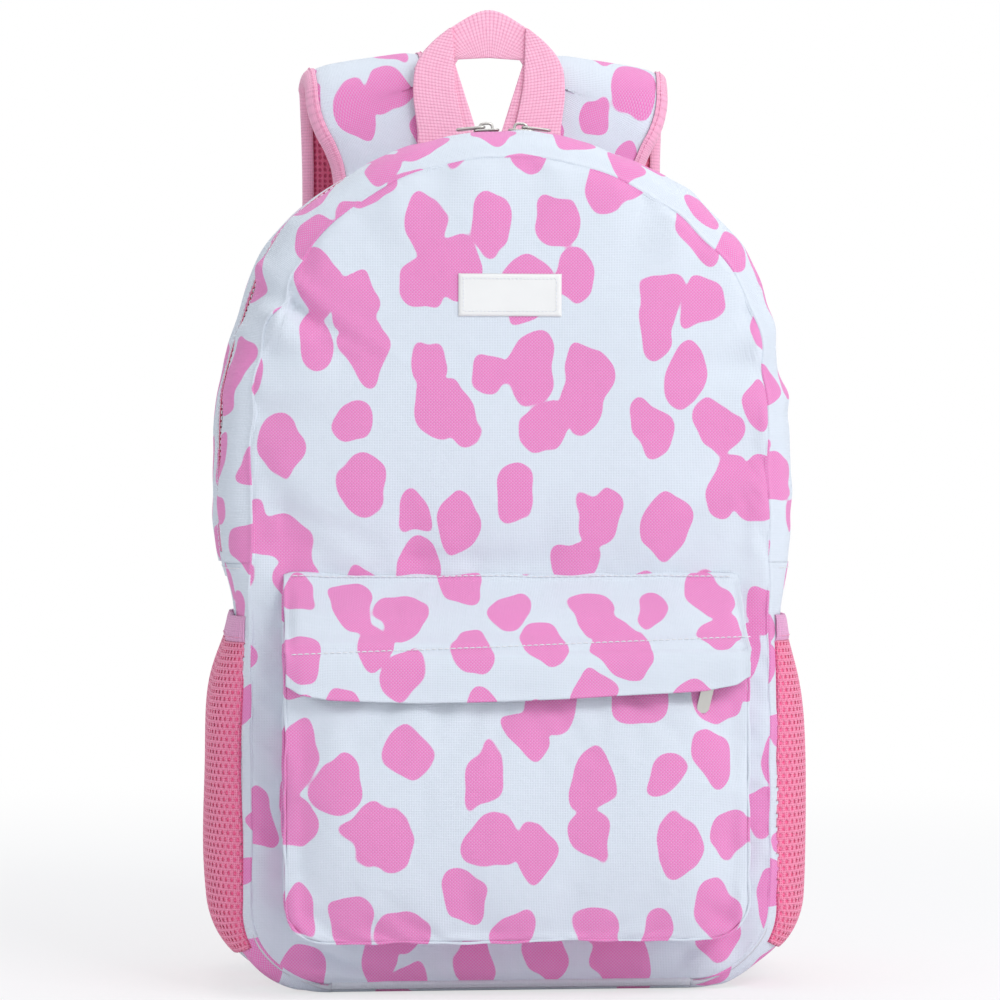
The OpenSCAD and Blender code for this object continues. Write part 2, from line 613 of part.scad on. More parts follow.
module handle_tabs() {
    // Sewn ends of the handle: they stand on the back panel's top edge.
    color(pink) plate(handle_y, handle_y + 2 * ply) difference() {
        for (s = [-1, 1]) translate([s > 0 ? 11 : -handle_hw, crown_z + 90])
            square([handle_hw - 11, handle_z - ply - gap - crown_z - 90]);
        translate([0, crown_z]) circle(seam_r, $fn = 120);
    }
}

// ---- sliders ----
// Drawn with the track along X, out along Z and the closed chain at +X:
// tapes lie below z = 0, coils above. Above the coils there is this much room.
module slider_body(l, w, ch, cg, tt, room) {
    lo = -tt - gap;
    hi = ch + room;
    color(metal) {
        translate([-l / 2, -w / 2, lo - plate_t]) cube([l, w, plate_t]);
        translate([-l / 2, -w / 2, hi]) cube([l, w, plate_t]);
        // divider between the half chains, at the open end
        translate([-l / 2 + 0.6, -cg / 2 + gap, lo - 0.01]) cube([3.2, cg - 2 * gap, hi - lo + 0.02]);
        // flange that keeps the coil in, over the tape on the rear side
        translate([-l / 2, w / 2 - 1, tt / 2 + gap]) cube([l, 1, hi - tt / 2 - gap + 0.01]);
    }
}
// Square-wire loop over the slider, along the track.
module bail(l, z0, clear) {
    color(metal) {
        for (x = [-l / 2, l / 2 - bail_t]) translate([x, -bail_t / 2, z0 - 0.01])
            cube([bail_t, bail_t, clear + 0.02]);
        translate([-l / 2, -bail_t / 2, z0 + clear]) cube([l, bail_t, bail_t * 0.8]);
    }
}
zip_r = seam_r + tape_o;                     // radius of the tape's top
slide_a = asin(slider_x / zip_r);
bail_l = 8;
// Places a slider on the crown: s = 1 right, -1 left, closed chain outward.
module on_crown(s) {
    mirror([s < 0 ? 1 : 0, 0, 0]) translate([0, -zip_y, crown_z]) rotate([0, slide_a, 0])
        translate([0, 0, zip_r]) children();
}
main_top = coil_h + leave_room + plate_t;    // top of the slider's plate
module slider(s) {
    on_crown(s) {
        slider_body(slider_l, slider_w, coil_h, coil_gap, tape_t, leave_room);
        bail(bail_l, main_top, bail_h);
    }
}
module slider_left() { slider(-1); }
module slider_right() { slider(1); }
// The pull's end bar lies under the bail, its slot clears the bail's outer post.
ring_bar = 1.8;
pull_x = bail_l / 2 - bail_t - gap - ring_bar / 2;
module pull(s) {
    slot = bail_t + 1.9;
    on_crown(s) translate([pull_x, 0, main_top + bail_h / 2]) rotate([0, 3, 0])
        color(metal) translate([0, 0, -pull_t / 2]) difference() {
            linear_extrude(pull_t) union() {
                translate([-ring_bar / 2, -pull_w / 2]) square([pull_l - pull_w / 2, pull_w]);
                translate([pull_l - pull_w / 2 - ring_bar / 2, 0]) circle(pull_w / 2, $fn = 40);
            }
            translate([ring_bar / 2, -bail_t / 2 - 0.6, -1]) cube([slot, bail_t + 1.2, pull_t + 2]);
        }
}
module pull_left() { pull(-1); }
module pull_right() { pull(1); }

pk_sl = 10;                                  // pocket slider: length, width, bail
pk_sw = 8.4;
pk_bail_l = 7;
pk_bail_h = 2;
pk_top = zip2_coil_h + gap + plate_t;
pull_tilt = 14;                              // the parked pull hangs a little askew
// The pocket's chain is closed to the left of its slider.
module on_pocket() {
    translate([pk_hw - pocket_park, pk_front - tape_t, pocket_zip_z]) rotate([90, 0, 0]) children();
}
module pocket_slider() {
    on_pocket() mirror([1, 0, 0]) {
        slider_body(pk_sl, pk_sw, zip2_coil_h, zip2_gap, tape_t, gap);
        bail(pk_bail_l, pk_top, pk_bail_h);
    }
}
// Hangs from the bail's right post, between the plate and the bail's bar.
pk_post = pk_bail_l / 2 - bail_t / 2;
module pocket_pull() {
    eye = bail_t * 0.71 + gap;
    color(metal) on_pocket() translate([pk_post, 0, pk_top + pk_bail_h / 2]) rotate([0, 0, -pull_tilt])
        translate([0, 0, -0.6]) difference() {
            linear_extrude(1.2) union() {
                circle(eye + 1.3, $fn = 40);
                translate([-1.8, 4 - pocket_pull_l]) square([3.6, pocket_pull_l - 4]);
                translate([-pull_w / 2, pull_w / 2 - pocket_pull_l]) square([pull_w, pocket_pull_l - pull_w - 2]);
                translate([0, pull_w / 2 - pocket_pull_l]) circle(pull_w / 2, $fn = 40);
            }
            translate([0, 0, -1]) cylinder(r = eye, h = 4, $fn = 40);
        }
}

back_panel();
back_pads();
strap_yoke();
rear_zip_gusset();
rear_zip_tape();
rear_zip_coil();
side_panel_left();
side_panel_right();
bottom_panel();
front_panel_lower();
piping_lower();
pocket_gusset();
pocket_face();
pocket_top();
pocket_flap();
pocket_tape_upper();
pocket_tape_lower();
pocket_coil_upper();
pocket_coil_lower();
side_pocket_left();
side_pocket_right();
side_elastic_left();
side_elastic_right();
strap_pad_left();
strap_pad_right();
strap_mesh_left();
strap_mesh_right();
strap_binding_left();
strap_binding_right();
buckle_loop_left();
buckle_loop_right();
ladder_lock_left();
ladder_lock_right();
strap_webbing_left();
strap_webbing_right();
corner_tab_left();
corner_tab_right();
handle_tabs();
front_panel_upper();
front_zip_gusset();
front_zip_tape();
front_zip_coil();
piping_upper();
label_patch();
slider_left();
slider_right();
pull_left();
pull_right();
pocket_slider();
pocket_pull();
grab_handle();
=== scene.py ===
"""School backpack: how it looks. Drawn in millimetres in the CAD frame and stored in metres."""
import json
import math

import bpy
import numpy as np
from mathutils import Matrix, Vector
from mathutils.bvhtree import BVHTree

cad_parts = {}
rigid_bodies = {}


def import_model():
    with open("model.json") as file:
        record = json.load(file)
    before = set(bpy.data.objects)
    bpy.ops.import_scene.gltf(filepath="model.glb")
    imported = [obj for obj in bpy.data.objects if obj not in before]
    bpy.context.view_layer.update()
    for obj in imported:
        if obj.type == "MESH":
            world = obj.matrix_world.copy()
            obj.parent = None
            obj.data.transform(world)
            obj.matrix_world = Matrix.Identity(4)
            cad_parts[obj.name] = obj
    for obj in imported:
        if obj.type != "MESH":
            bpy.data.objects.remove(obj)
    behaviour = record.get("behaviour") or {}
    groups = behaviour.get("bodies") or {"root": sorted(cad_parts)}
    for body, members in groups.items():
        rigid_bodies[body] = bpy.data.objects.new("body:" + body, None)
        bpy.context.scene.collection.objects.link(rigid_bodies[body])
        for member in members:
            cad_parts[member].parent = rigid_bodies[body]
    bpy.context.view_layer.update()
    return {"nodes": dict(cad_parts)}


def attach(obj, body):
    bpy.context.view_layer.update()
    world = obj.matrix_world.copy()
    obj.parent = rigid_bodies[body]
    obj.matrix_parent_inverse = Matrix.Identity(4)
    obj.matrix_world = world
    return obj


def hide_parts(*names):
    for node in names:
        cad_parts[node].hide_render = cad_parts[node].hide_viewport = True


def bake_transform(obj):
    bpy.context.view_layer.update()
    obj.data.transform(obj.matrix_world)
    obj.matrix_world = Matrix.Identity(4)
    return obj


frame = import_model()
NODES = frame["nodes"]
SCENE = bpy.context.scene
PI = math.pi


# ---------------------------------------------------------------- camera
W = H = 1000
CAM_X, CAM_Y, CAM_Z = -156.9, -1793.2, 243.0
AIM_X, AIM_Y, AIM_Z = 0.0, 0.0, 243.0
LENS, SENSOR = 126.4, 36.0
SHIFT_X, SHIFT_Y = 0.0, 0.0

cam_data = bpy.data.cameras.new("camera")
cam_data.sensor_fit = "AUTO"
cam_data.sensor_width = SENSOR
cam_data.lens = LENS
cam_data.shift_x, cam_data.shift_y = SHIFT_X, SHIFT_Y
cam_data.clip_start, cam_data.clip_end = 0.05, 30
CAM = bpy.data.objects.new("camera", cam_data)
SCENE.collection.objects.link(CAM)
CAM.location = Vector((CAM_X, CAM_Y, CAM_Z)) * 0.001
LOOK = Vector((AIM_X - CAM_X, AIM_Y - CAM_Y, AIM_Z - CAM_Z))
CAM.rotation_euler = LOOK.to_track_quat("-Z", "Y").to_euler()
SCENE.camera = CAM
bpy.context.view_layer.update()


# places in the photograph's frame, 1000 by 1000: edges by one number, features by x and y
POINTS = {"left": 203, "right": 810, "top": 9, "bottom": 990, "label": (510, 295),
          "flap_stitch_left": (294, 655), "flap_stitch_right": (748, 637), "flap_hem": (500, 704),
          "seam_top": (510, 156), "seam_left": (250, 450), "seam_right": (770, 450),
          "pocket_left": (288, 760), "pocket_right": (750, 760), "pocket_bottom": (516, 942),
          "slider_left": (486, 127), "slider_right": (521, 127),
          "elastic_left": (235, 627), "elastic_right": (781, 627), "handle_gap": (501, 58)}


def pixel_ray(x, y):
    """Start and direction of the ray through an image point, in the row frame, in metres."""
    side = max(W, H)
    d = Vector((x - W / 2 + SHIFT_X * side, H / 2 - y + SHIFT_Y * side, -side * LENS / SENSOR))
    return CAM.matrix_world.translation.copy(), (CAM.matrix_world.to_3x3() @ d).normalized()


def pixel_of(p):
    """Image point of row-frame points in metres, as an array of x and y."""
    m = np.array(CAM.matrix_world.inverted())
    q = np.asarray(p, float).reshape(-1, 3) @ m[:3, :3].T + m[:3, 3]
    side, k = max(W, H), LENS / SENSOR
    return np.stack([W / 2 - SHIFT_X * side - q[:, 0] / q[:, 2] * side * k,
                     H / 2 + SHIFT_Y * side + q[:, 1] / q[:, 2] * side * k], 1)


def tree_of(*objs):
    verts, faces = [], []
    for o in objs:
        n = len(verts)
        verts += [o.matrix_world @ v.co for v in o.data.vertices]
        faces += [[n + i for i in f.vertices] for f in o.data.polygons]
    return BVHTree.FromPolygons(verts, faces)


def place(tree, x, y):
    """Where the ray through an image point meets a surface, and the surface's normal."""
    start, d = pixel_ray(x, y)
    hit = tree.ray_cast(start, d)
    if hit[0] is None:
        best = None
        for k in range(60):
            near = tree.find_nearest(start + d * (1.55 + 0.01 * k))
            if best is None or near[3] < best[3]:
                best = near
        hit = best
    return hit[0], hit[1]


# ---------------------------------------------------------------- materials
def lin(r, g, b):
    """An sRGB colour, 0 to 255, as the shader wants it."""
    def one(c):
        c /= 255
        return c / 12.92 if c <= 0.04045 else ((c + 0.055) / 1.055) ** 2.4
    return (one(r), one(g), one(b), 1.0)


class Mat:
    """A Principled material and short ways to wire nodes into it."""

    def __init__(self, name, rough=0.8, **sockets):
        self.mat = bpy.data.materials.new(name)
        self.mat.use_nodes = True
        self.tree = self.mat.node_tree
        self.bsdf = self.tree.nodes["Principled BSDF"]
        self.bsdf.inputs["Roughness"].default_value = rough
        for k, v in sockets.items():
            self.bsdf.inputs[k.replace("_", " ")].default_value = v

    def node(self, kind, ins=None, **props):
        n = self.tree.nodes.new("ShaderNode" + kind)
        for k, v in props.items():
            setattr(n, k, v)
        for k, v in (ins or {}).items():
            self.put(n.inputs[k], v)
        return n

    def put(self, sock, v):
        if isinstance(v, bpy.types.NodeSocket):
            self.tree.links.new(v, sock)
        else:
            sock.default_value = v

    def math(self, op, *vals, clamp=False):
        n = self.node("Math", dict(enumerate(vals)), operation=op)
        n.use_clamp = clamp
        return n.outputs[0]

    def vec(self, op, a, b=None, scale=None):
        n = self.node("VectorMath", {0: a}, operation=op)
        if b is not None:
            self.put(n.inputs[1], b)
        if scale is not None:
            self.put(n.inputs["Scale"], scale)
        return n.outputs["Value" if op in ("LENGTH", "DOT_PRODUCT", "DISTANCE") else "Vector"]

    def mix(self, fac, a, b):
        n = self.node("Mix", data_type="RGBA")
        for i, v in ((0, fac), (6, a), (7, b)):
            self.put(n.inputs[i], v)
        return n.outputs[2]

    def smooth(self, x, lo, hi):
        """0 below lo, 1 above hi."""
        n = self.node("MapRange", {0: x, 1: lo, 2: hi}, interpolation_type="SMOOTHSTEP")
        return n.outputs[0]

    def uv(self):
        return self.node("UVMap", uv_map="UVMap").outputs[0]

    def pos(self):
        return self.node("TexCoord").outputs["Object"]

    def xyz(self, v):
        return self.node("SeparateXYZ", {0: v}).outputs

    def noise(self, v, scale, detail=2.0, rough=0.5):
        return self.node("TexNoise", {"Vector": v, "Scale": scale, "Detail": detail,
                                      "Roughness": rough}).outputs

    def color(self, c):
        self.put(self.bsdf.inputs["Base Color"], c)

    def bump(self, h, dist, strength=1.0):
        n = self.node("Bump", {"Height": h, "Distance": dist, "Strength": strength})
        old = self.bsdf.inputs["Normal"]
        if old.is_linked:
            self.put(n.inputs["Normal"], old.links[0].from_socket)
        self.put(old, n.outputs[0])


def weave(m, uv, pitch, pitch2=None):
    """Plain weave: threads go over and under each other. 0 between threads, 1 on top."""
    x, y, _ = m.xyz(uv)
    a = m.math("SINE", m.math("MULTIPLY", x, PI / pitch))
    b = m.math("SINE", m.math("MULTIPLY", y, PI / (pitch2 or pitch)))
    both = m.math("MULTIPLY", a, b)
    # one thread system tops where the product is positive, the other where it is negative
    return m.math("POWER", m.math("ABSOLUTE", both), 0.6), m.math("GREATER_THAN", both, 0.0)


WHITE = lin(226, 234, 243)
SPOT = lin(246, 122, 198)


def canvas(name, spots=True, base=WHITE, spot=SPOT, turn=0.0, move=(0.0, 0.0)):
    """Woven polyester canvas, printed with cow spots: rounded blobs, some of them lobed."""
    m = Mat(name, 0.78, Sheen_Weight=0.12, Sheen_Roughness=0.5, Specular_IOR_Level=0.28)
    uv = m.uv()
    h, over = weave(m, uv, 0.00080)
    cloudy = m.noise(uv, 9.0, 3.0)[0]
    plain = m.mix(m.math("MULTIPLY", cloudy, 0.5), base, tuple(0.93 * c for c in base[:3]) + (1.0,))
    shade = m.math("SUBTRACT", 1.0, m.math("MULTIPLY", m.math("SUBTRACT", 1.0, h), 0.07))
    col = plain
    if spots:
        # soft-edged distance to scattered points, through warped cloth: close points run together
        cell, reach = 0.0315, 0.365
        p = m.node("Mapping", {"Vector": uv, "Location": (move[0], move[1], 0.37), "Rotation": (0, 0, turn),
                               "Scale": (1.10 / cell, 0.84 / cell, 1.0)}).outputs[0]
        wob = m.vec("SUBTRACT", m.noise(p, 1.25, 1.0, 0.42)[1], (0.5, 0.5, 0.5))
        q = m.vec("ADD", p, m.vec("SCALE", wob, scale=0.72))
        near = m.node("TexVoronoi", {"Vector": q, "Scale": 1.0, "Randomness": 0.74, "Smoothness": 0.2},
                      voronoi_dimensions="2D", feature="SMOOTH_F1").outputs["Distance"]
        size = m.math("MULTIPLY_ADD", m.noise(p, 0.7, 0.0)[0], 0.22, reach - 0.11)
        on = m.math("SUBTRACT", 1.0, m.smooth(m.math("SUBTRACT", near, size), -0.008, 0.008))
        # the print sits on one thread system more than on the other
        ink = m.math("MULTIPLY", on, m.math("MULTIPLY_ADD", over, 0.25, 0.72))
        tone = m.mix(m.math("MULTIPLY", cloudy, 0.7), spot, tuple(0.86 * c for c in spot[:3]) + (1.0,))
        col = m.mix(ink, plain, tone)
    m.color(m.mix(m.math("SUBTRACT", 1.0, shade), col, (0.25, 0.24, 0.30, 1.0)))
    m.bump(h, 0.00022, 0.8)
    m.bump(m.noise(uv, 130.0, 3.0)[0], 0.0004, 0.5)
    return m.mat


def ribbed(name, c, pitch=0.0016, rough=0.62, depth=0.00035, cross=0.0011, deep=None):
    """Narrow woven goods: ribs across (along U), with fine yarns the other way. deep is the painted shade in
    the grooves between them.
    """
    m = Mat(name, rough, Sheen_Weight=0.2, Specular_IOR_Level=0.35)
    uv = m.uv()
    x, y, _ = m.xyz(uv)
    rib = m.math("ABSOLUTE", m.math("SINE", m.math("MULTIPLY", x, PI / pitch)))
    yarn = m.math("ABSOLUTE", m.math("SINE", m.math("MULTIPLY", y, PI / cross)))
    h = m.math("MULTIPLY_ADD", yarn, 0.35, m.math("MULTIPLY", m.math("POWER", rib, 0.5), 0.65))
    n = m.noise(uv, 240.0, 2.0)[0]
    deep = deep or tuple(0.72 * k for k in c[:3]) + (1.0,)
    # painted shade: the colour goes towards deep in the grooves between ribs and yarns, with a little random
    # tone from the noise
    fac = m.math("SUBTRACT", 1.0, m.math("MULTIPLY_ADD", n, 0.3, m.math("MULTIPLY", h, 0.85)), clamp=True)
    m.color(m.mix(fac, c, deep))
    m.bump(h, depth, 0.9)
    return m.mat


def knit(name, c, deep, pitch=0.003, rough=0.75, depth=0.0008):
    """Spacer mesh: small round pits in offset rows. deep is the painted shade in the pits and between the
    fine threads.
    """
    m = Mat(name, rough, Sheen_Weight=0.25, Specular_IOR_Level=0.3)
    uv = m.uv()
    vor = m.node("TexVoronoi", {"Vector": uv, "Scale": 1.0 / pitch, "Randomness": 0.06},
                 voronoi_dimensions="2D")
    pit = m.smooth(vor.outputs["Distance"], 0.16, 0.44)
    fine, _ = weave(m, uv, 0.0006)
    # painted shade: the pits and the gaps between the fine threads take the darker deep colour
    m.color(m.mix(m.math("MULTIPLY_ADD", fine, 0.2, m.math("MULTIPLY", pit, 0.8)), deep, c))
    m.bump(m.math("MULTIPLY_ADD", fine, 0.2, pit), depth, 0.9)
    return m.mat


def metal(name, c, rough=0.24):
    m = Mat(name, rough, Metallic=1.0, Specular_IOR_Level=0.5)
    p = m.pos()
    n = m.noise(p, 900.0, 4.0, 0.7)[0]
    m.put(m.bsdf.inputs["Roughness"], m.math("MULTIPLY_ADD", n, 0.22, rough - 0.08))
    m.color(m.mix(m.noise(p, 160.0, 2.0)[0], c, tuple(0.88 * k for k in c[:3]) + (1.0,)))
    m.bump(n, 0.00003, 0.5)
    return m.mat


def moulded(name, c, rough=0.42):
    m = Mat(name, rough, Specular_IOR_Level=0.5)
    p = m.pos()
    n = m.noise(p, 1400.0, 3.0)[0]
    m.color(m.mix(m.noise(p, 60.0, 2.0)[0], c, tuple(0.92 * k for k in c[:3]) + (1.0,)))
    m.put(m.bsdf.inputs["Roughness"], m.math("MULTIPLY_ADD", n, 0.15, rough - 0.07))
    m.bump(n, 0.00004, 0.6)
    return m.mat


def thread(name, c):
    m = Mat(name, 0.6, Sheen_Weight=0.2)
    n = m.noise(m.pos(), 2500.0, 2.0)[0]
    m.color(m.mix(n, c, tuple(0.8 * k for k in c[:3]) + (1.0,)))
    m.bump(n, 0.0001, 0.6)
    return m.mat


COW = canvas("cow_canvas")
COW_B = canvas("cow_canvas_gusset", turn=0.5, move=(0.31, 0.17))
COW_P = canvas("cow_canvas_pocket", move=(0.137, 0.21))
PLAIN = canvas("plain_canvas", spots=False)
BACK = canvas("back_cloth", spots=False, base=lin(236, 150, 190))
LINING = canvas("lining_cloth", spots=False, base=lin(222, 226, 232))
# ribbed goods are painted darker in their grooves as shade
GROSGRAIN = ribbed("grosgrain", lin(250, 178, 208))
WEB = ribbed("webbing", lin(244, 158, 192), pitch=0.0021, depth=0.0005, cross=0.0013)
ELASTIC = ribbed("elastic", lin(232, 168, 208), pitch=0.0012)
TAPE = ribbed("zip_tape", lin(240, 132, 172), pitch=0.0009, depth=0.0002)
# each knit's second colour is the painted shade in its pits
MESH = knit("spacer_mesh", lin(240, 118, 154), lin(200, 62, 106))
NET_BACK = knit("net_backing", lin(252, 120, 166), lin(238, 84, 134), pitch=0.0021, depth=0.0003)
NET = knit("pocket_net", lin(248, 150, 182), lin(230, 96, 140), pitch=0.0011, depth=0.0002)
COIL = moulded("zip_coil", lin(232, 104, 150), 0.36)
LOCK = moulded("buckle_plastic", lin(240, 142, 180))
NICKEL = metal("nickel", lin(184, 183, 180), 0.3)
RUBBER = moulded("label_rubber", lin(236, 236, 234), 0.5)
THREAD = thread("thread_white", lin(240, 242, 246))
THREAD_P = thread("thread_pink", lin(244, 160, 196))


# ---------------------------------------------------------------- the shell's lines, as in the CAD
HW, HD, SEAM_R, CROWN_Z = 129.0, 65.0, 140.0, 273.0
SH_R, SH_X = 58.0, 71.0
CA = math.asin(SH_X / (SEAM_R - SH_R))
SH_Z = CROWN_Z + (SEAM_R - SH_R) * math.cos(CA)
CORNER, LIFT, FOLD, BULGE, FLAT = 40.0, 5.0, 212.0, 15.0, 36.0
L1 = SEAM_R * CA
L2 = L1 + SH_R * (PI / 2 - CA)
L3 = L2 + SH_Z - LIFT - CORNER
L4 = L3 + CORNER * PI / 2
L5 = L4 + HW - CORNER
S_FOLD = L2 + SH_Z - FOLD
ZIP_Y = -20.0


def loop(s):
    """The seam line from the front, by its length from the top (left negative): x, z, normal x, normal z."""
    s = np.asarray(s, float)
    g, a = np.where(s < 0, -1.0, 1.0), np.abs(s)
    t1, t2, t4 = a / SEAM_R, CA + (a - L1) / SH_R, (a - L3) / CORNER
    on = [a <= L1, a <= L2, a <= L3, a <= L4]
    one, nil = np.ones_like(a), np.zeros_like(a)
    x = np.select(on, [SEAM_R * np.sin(t1), SH_X + SH_R * np.sin(t2), HW * one,
                       HW - CORNER + CORNER * np.cos(t4)], HW - CORNER - (a - L4))
    z = np.select(on, [CROWN_Z + SEAM_R * np.cos(t1), SH_Z + SH_R * np.cos(t2), SH_Z - (a - L2),
                       LIFT + CORNER - CORNER * np.sin(t4)], LIFT)
    nx = np.select(on, [np.sin(t1), np.sin(t2), one, np.cos(t4)], nil)
    nz = np.select(on, [np.cos(t1), np.cos(t2), nil, -np.sin(t4)], -1.0)
    return g * x, z, g * nx, nz


def prof(y):
    """How far the gusset stands out from the seam, by depth."""
    k = np.clip((np.abs(y) - FLAT) / (HD - FLAT), 0, 1)
    return BULGE * np.sqrt(1 - k * k)


def lower_prof(s, y):
    p = prof(y) / BULGE
    k = np.clip((np.abs(s) - L3) / (L4 - L3), 0, 1)
    swell = 1 + (LIFT / BULGE - 1) * (1 - np.cos(PI * k)) / 2
    return swell * BULGE * (p * (1 - k) + (1 - np.maximum(1 - p, 0) ** 5) * k)


# where the soft bag sinks in at its shoulders and at the side pockets' mouths: length, depth, width
SLUMP = [(-158.0, 8.5, 27.0), (168.0, 7.0, 30.0), (-306.0, 8.5, 24.0), (306.0, 6.0, 26.0)]


def skin(s, y, o=0.0):
    """A point on the gusset, o out from it."""
    x, z, nx, nz = loop(s)
    sunk = sum(a * np.exp(-((s - c) / w) ** 2) for c, a, w in SLUMP) * prof(y) / BULGE
    r = lower_prof(s, y) - sunk + o
    return np.stack(np.broadcast_arrays(x + nx * r, y, z + nz * r), -1)


def wavy(seed, *xs, f=0.05, n=7):
    """Smooth seeded noise of about that many radians to the millimetre, near -1 to 1."""
    r = np.random.default_rng(seed)
    out = 0.0
    for _ in range(n):
        w = r.normal(size=len(xs)) * f
        out = out + np.sin(sum(a * x for a, x in zip(w, xs)) + r.uniform(0, 2 * PI))
    return out / math.sqrt(n)


def step(x, lo, hi):
    t = np.clip((np.asarray(x, float) - lo) / (hi - lo), 0, 1)
    return t * t * (3 - 2 * t)


# ---------------------------------------------------------------- making pieces
def mesh(name, verts, faces, mats, uv=None, smooth=True):
    """A mesh object from millimetres. uv is one pair to a vertex, in metres."""
    me = bpy.data.meshes.new(name)
    me.from_pydata((np.asarray(verts, float).reshape(-1, 3) * 0.001).tolist(), [], faces)
    if uv is not None:
        layer = me.uv_layers.new(name="UVMap")
        idx = np.empty(len(me.loops), np.int64)
        me.loops.foreach_get("vertex_index", idx)
        layer.data.foreach_set("uv", np.asarray(uv, float).reshape(-1, 2)[idx].astype(np.float32).ravel())
    for m in mats if isinstance(mats, (list, tuple)) else [mats]:
        me.materials.append(m)
    me.polygons.foreach_set("use_smooth", [smooth] * len(me.polygons))
    me.validate()
    ob = bpy.data.objects.new(name, me)
    SCENE.collection.objects.link(ob)
    return ob


def quads(n, m, wrap_n=False, wrap_m=False, start=0):
    out = []
    for i in range(n if wrap_n else n - 1):
        for j in range(m if wrap_m else m - 1):
            a, b = start + i * m + j, start + ((i + 1) % n) * m + j
            c, d = start + ((i + 1) % n) * m + (j + 1) % m, start + i * m + (j + 1) % m
            out.append((a, b, c, d))
    return out


def grid(name, pts, uv, mats, core=(0.0, 0.0, 220.0), **wrap):
    """A sheet over an n by m grid of points, its front turned away from the core point."""
    n, m = pts.shape[:2]
    ob = mesh(name, pts, quads(n, m, **wrap), mats, uv)
    k = len(ob.data.polygons) * 3
    nrm, ctr = np.empty(k), np.empty(k)
    ob.data.polygons.foreach_get("normal", nrm)
    ob.data.polygons.foreach_get("center", ctr)
    if (nrm.reshape(-1, 3) * (ctr.reshape(-1, 3) - np.array(core) * 0.001)).sum() < 0:
        ob.data.flip_normals()
    return ob


def settle(ob):
    """Applies every modifier, keeping UVs and materials."""
    dg = bpy.context.evaluated_depsgraph_get()
    new = bpy.data.meshes.new_from_object(ob.evaluated_get(dg), preserve_all_data_layers=True, depsgraph=dg)
    old, ob.data = ob.data, new
    ob.modifiers.clear()
    new.name = ob.name
    bpy.data.meshes.remove(old)
    return ob


def finer(ob, levels=1):
    m = ob.modifiers.new("subdiv", "SUBSURF")
    m.levels = m.render_levels = levels
    m.boundary_smooth = "PRESERVE_CORNERS"
    return settle(ob)


def shell(ob, t, offset=-1.0, inner=0):
    """Gives a sheet its thickness in millimetres; offset -1 puts it behind the face."""
    m = ob.modifiers.new("solid", "SOLIDIFY")
    m.thickness, m.offset, m.material_offset = t * 0.001, offset, inner
    m.use_even_offset = False
    return settle(ob)


def coords(ob):
    a = np.empty(len(ob.data.vertices) * 3)
    ob.data.vertices.foreach_get("co", a)
    return a.reshape(-1, 3)


def set_coords(ob, a):
    ob.data.vertices.foreach_set("co", np.asarray(a, np.float32).ravel())
    ob.data.update()


def inflate(ob, pinned, pressure, frames=18, slack=0.0, cap=10.0, bend=0.3, tension=18.0, gravity=0.0):
    """Blows a sheet up with Blender's cloth, pinned where the array says, and keeps the result.
    slack is how much bigger the cloth is cut; no point moves more than cap millimetres."""
    start = coords(ob)
    vg = ob.vertex_groups.new(name="pin")
    for w in sorted(set(np.round(pinned, 1))):
        idx = np.nonzero(np.abs(np.round(pinned, 1) - w) < 1e-6)[0]
        if w > 0:
            vg.add(idx.tolist(), float(w), "REPLACE")
    m = ob.modifiers.new("cloth", "CLOTH")
    s = m.settings
    s.quality = 6
    s.mass = 0.25
    s.tension_stiffness = s.compression_stiffness = tension
    s.shear_stiffness = tension * 0.5
    s.bending_stiffness = bend
    s.tension_damping = s.compression_damping = s.shear_damping = 8
    s.air_damping = 3
    s.vertex_group_mass = "pin"
    s.use_pressure = True
    s.uniform_pressure_force = pressure
    s.shrink_min = -slack
    s.effector_weights.gravity = gravity
    m.collision_settings.use_collision = False
    m.point_cache.frame_start, m.point_cache.frame_end = 1, frames
    SCENE.frame_start, SCENE.frame_end = 1, frames
    for f in range(1, frames + 1):
        SCENE.frame_set(f)
    settle(ob)
    SCENE.frame_set(1)
    end = coords(ob)
    d = end - start
    far = np.linalg.norm(d, axis=1, keepdims=True) * 1000
    lim = cap * np.tanh(far / cap)
    set_coords(ob, start + d * np.where(far > 1e-6, lim / np.maximum(far, 1e-6), 1))
    ob.vertex_groups.clear()
    print("inflate", ob.name, "moved up to %.1f mm" % far.max())
    return ob


def sweep(name, centre, ax, ay, section, mats, closed=False, flat=False):
    """Sweeps a closed section (k pairs, along ax and ay at each point) along centre, all n by 3 in mm.
    flat gives it the print of the cloth it lies on."""
    section = np.asarray(section, float)
    if section.ndim == 2:
        section = np.broadcast_to(section, (len(centre),) + section.shape)
    pts = centre[:, None] + ax[:, None] * section[..., :1] + ay[:, None] * section[..., 1:]
    n, k = pts.shape[:2]
    ulen = np.concatenate([[0], np.cumsum(np.linalg.norm(np.diff(pts.mean(1), axis=0), axis=1))])
    vlen = np.concatenate([[0], np.cumsum(np.linalg.norm(np.diff(section[0], axis=0), axis=1))])
    uv = pts[..., [0, 2]] * 0.001 if flat else uv_of(ulen[:, None], vlen[None])
    faces = quads(n, k, wrap_n=closed, wrap_m=True)
    if not closed:
        faces += [tuple(range(k))[::-1], tuple((n - 1) * k + i for i in range(k))]
    return mesh(name, pts, faces, mats, uv)


def unit(v):
    return v / np.maximum(np.linalg.norm(v, axis=-1, keepdims=True), 1e-9)


def along(pts):
    return unit(np.gradient(np.asarray(pts, float), axis=0))


def resample(pts, pitch):
    """Evenly spaced points on a polyline."""
    pts = np.asarray(pts, float)
    s = np.concatenate([[0], np.cumsum(np.linalg.norm(np.diff(pts, axis=0), axis=1))])
    n = max(int(round(s[-1] / pitch)), 1)
    t = np.linspace(0, s[-1], n + 1)
    return np.stack([np.interp(t, s, pts[:, k]) for k in range(pts.shape[1])], 1)


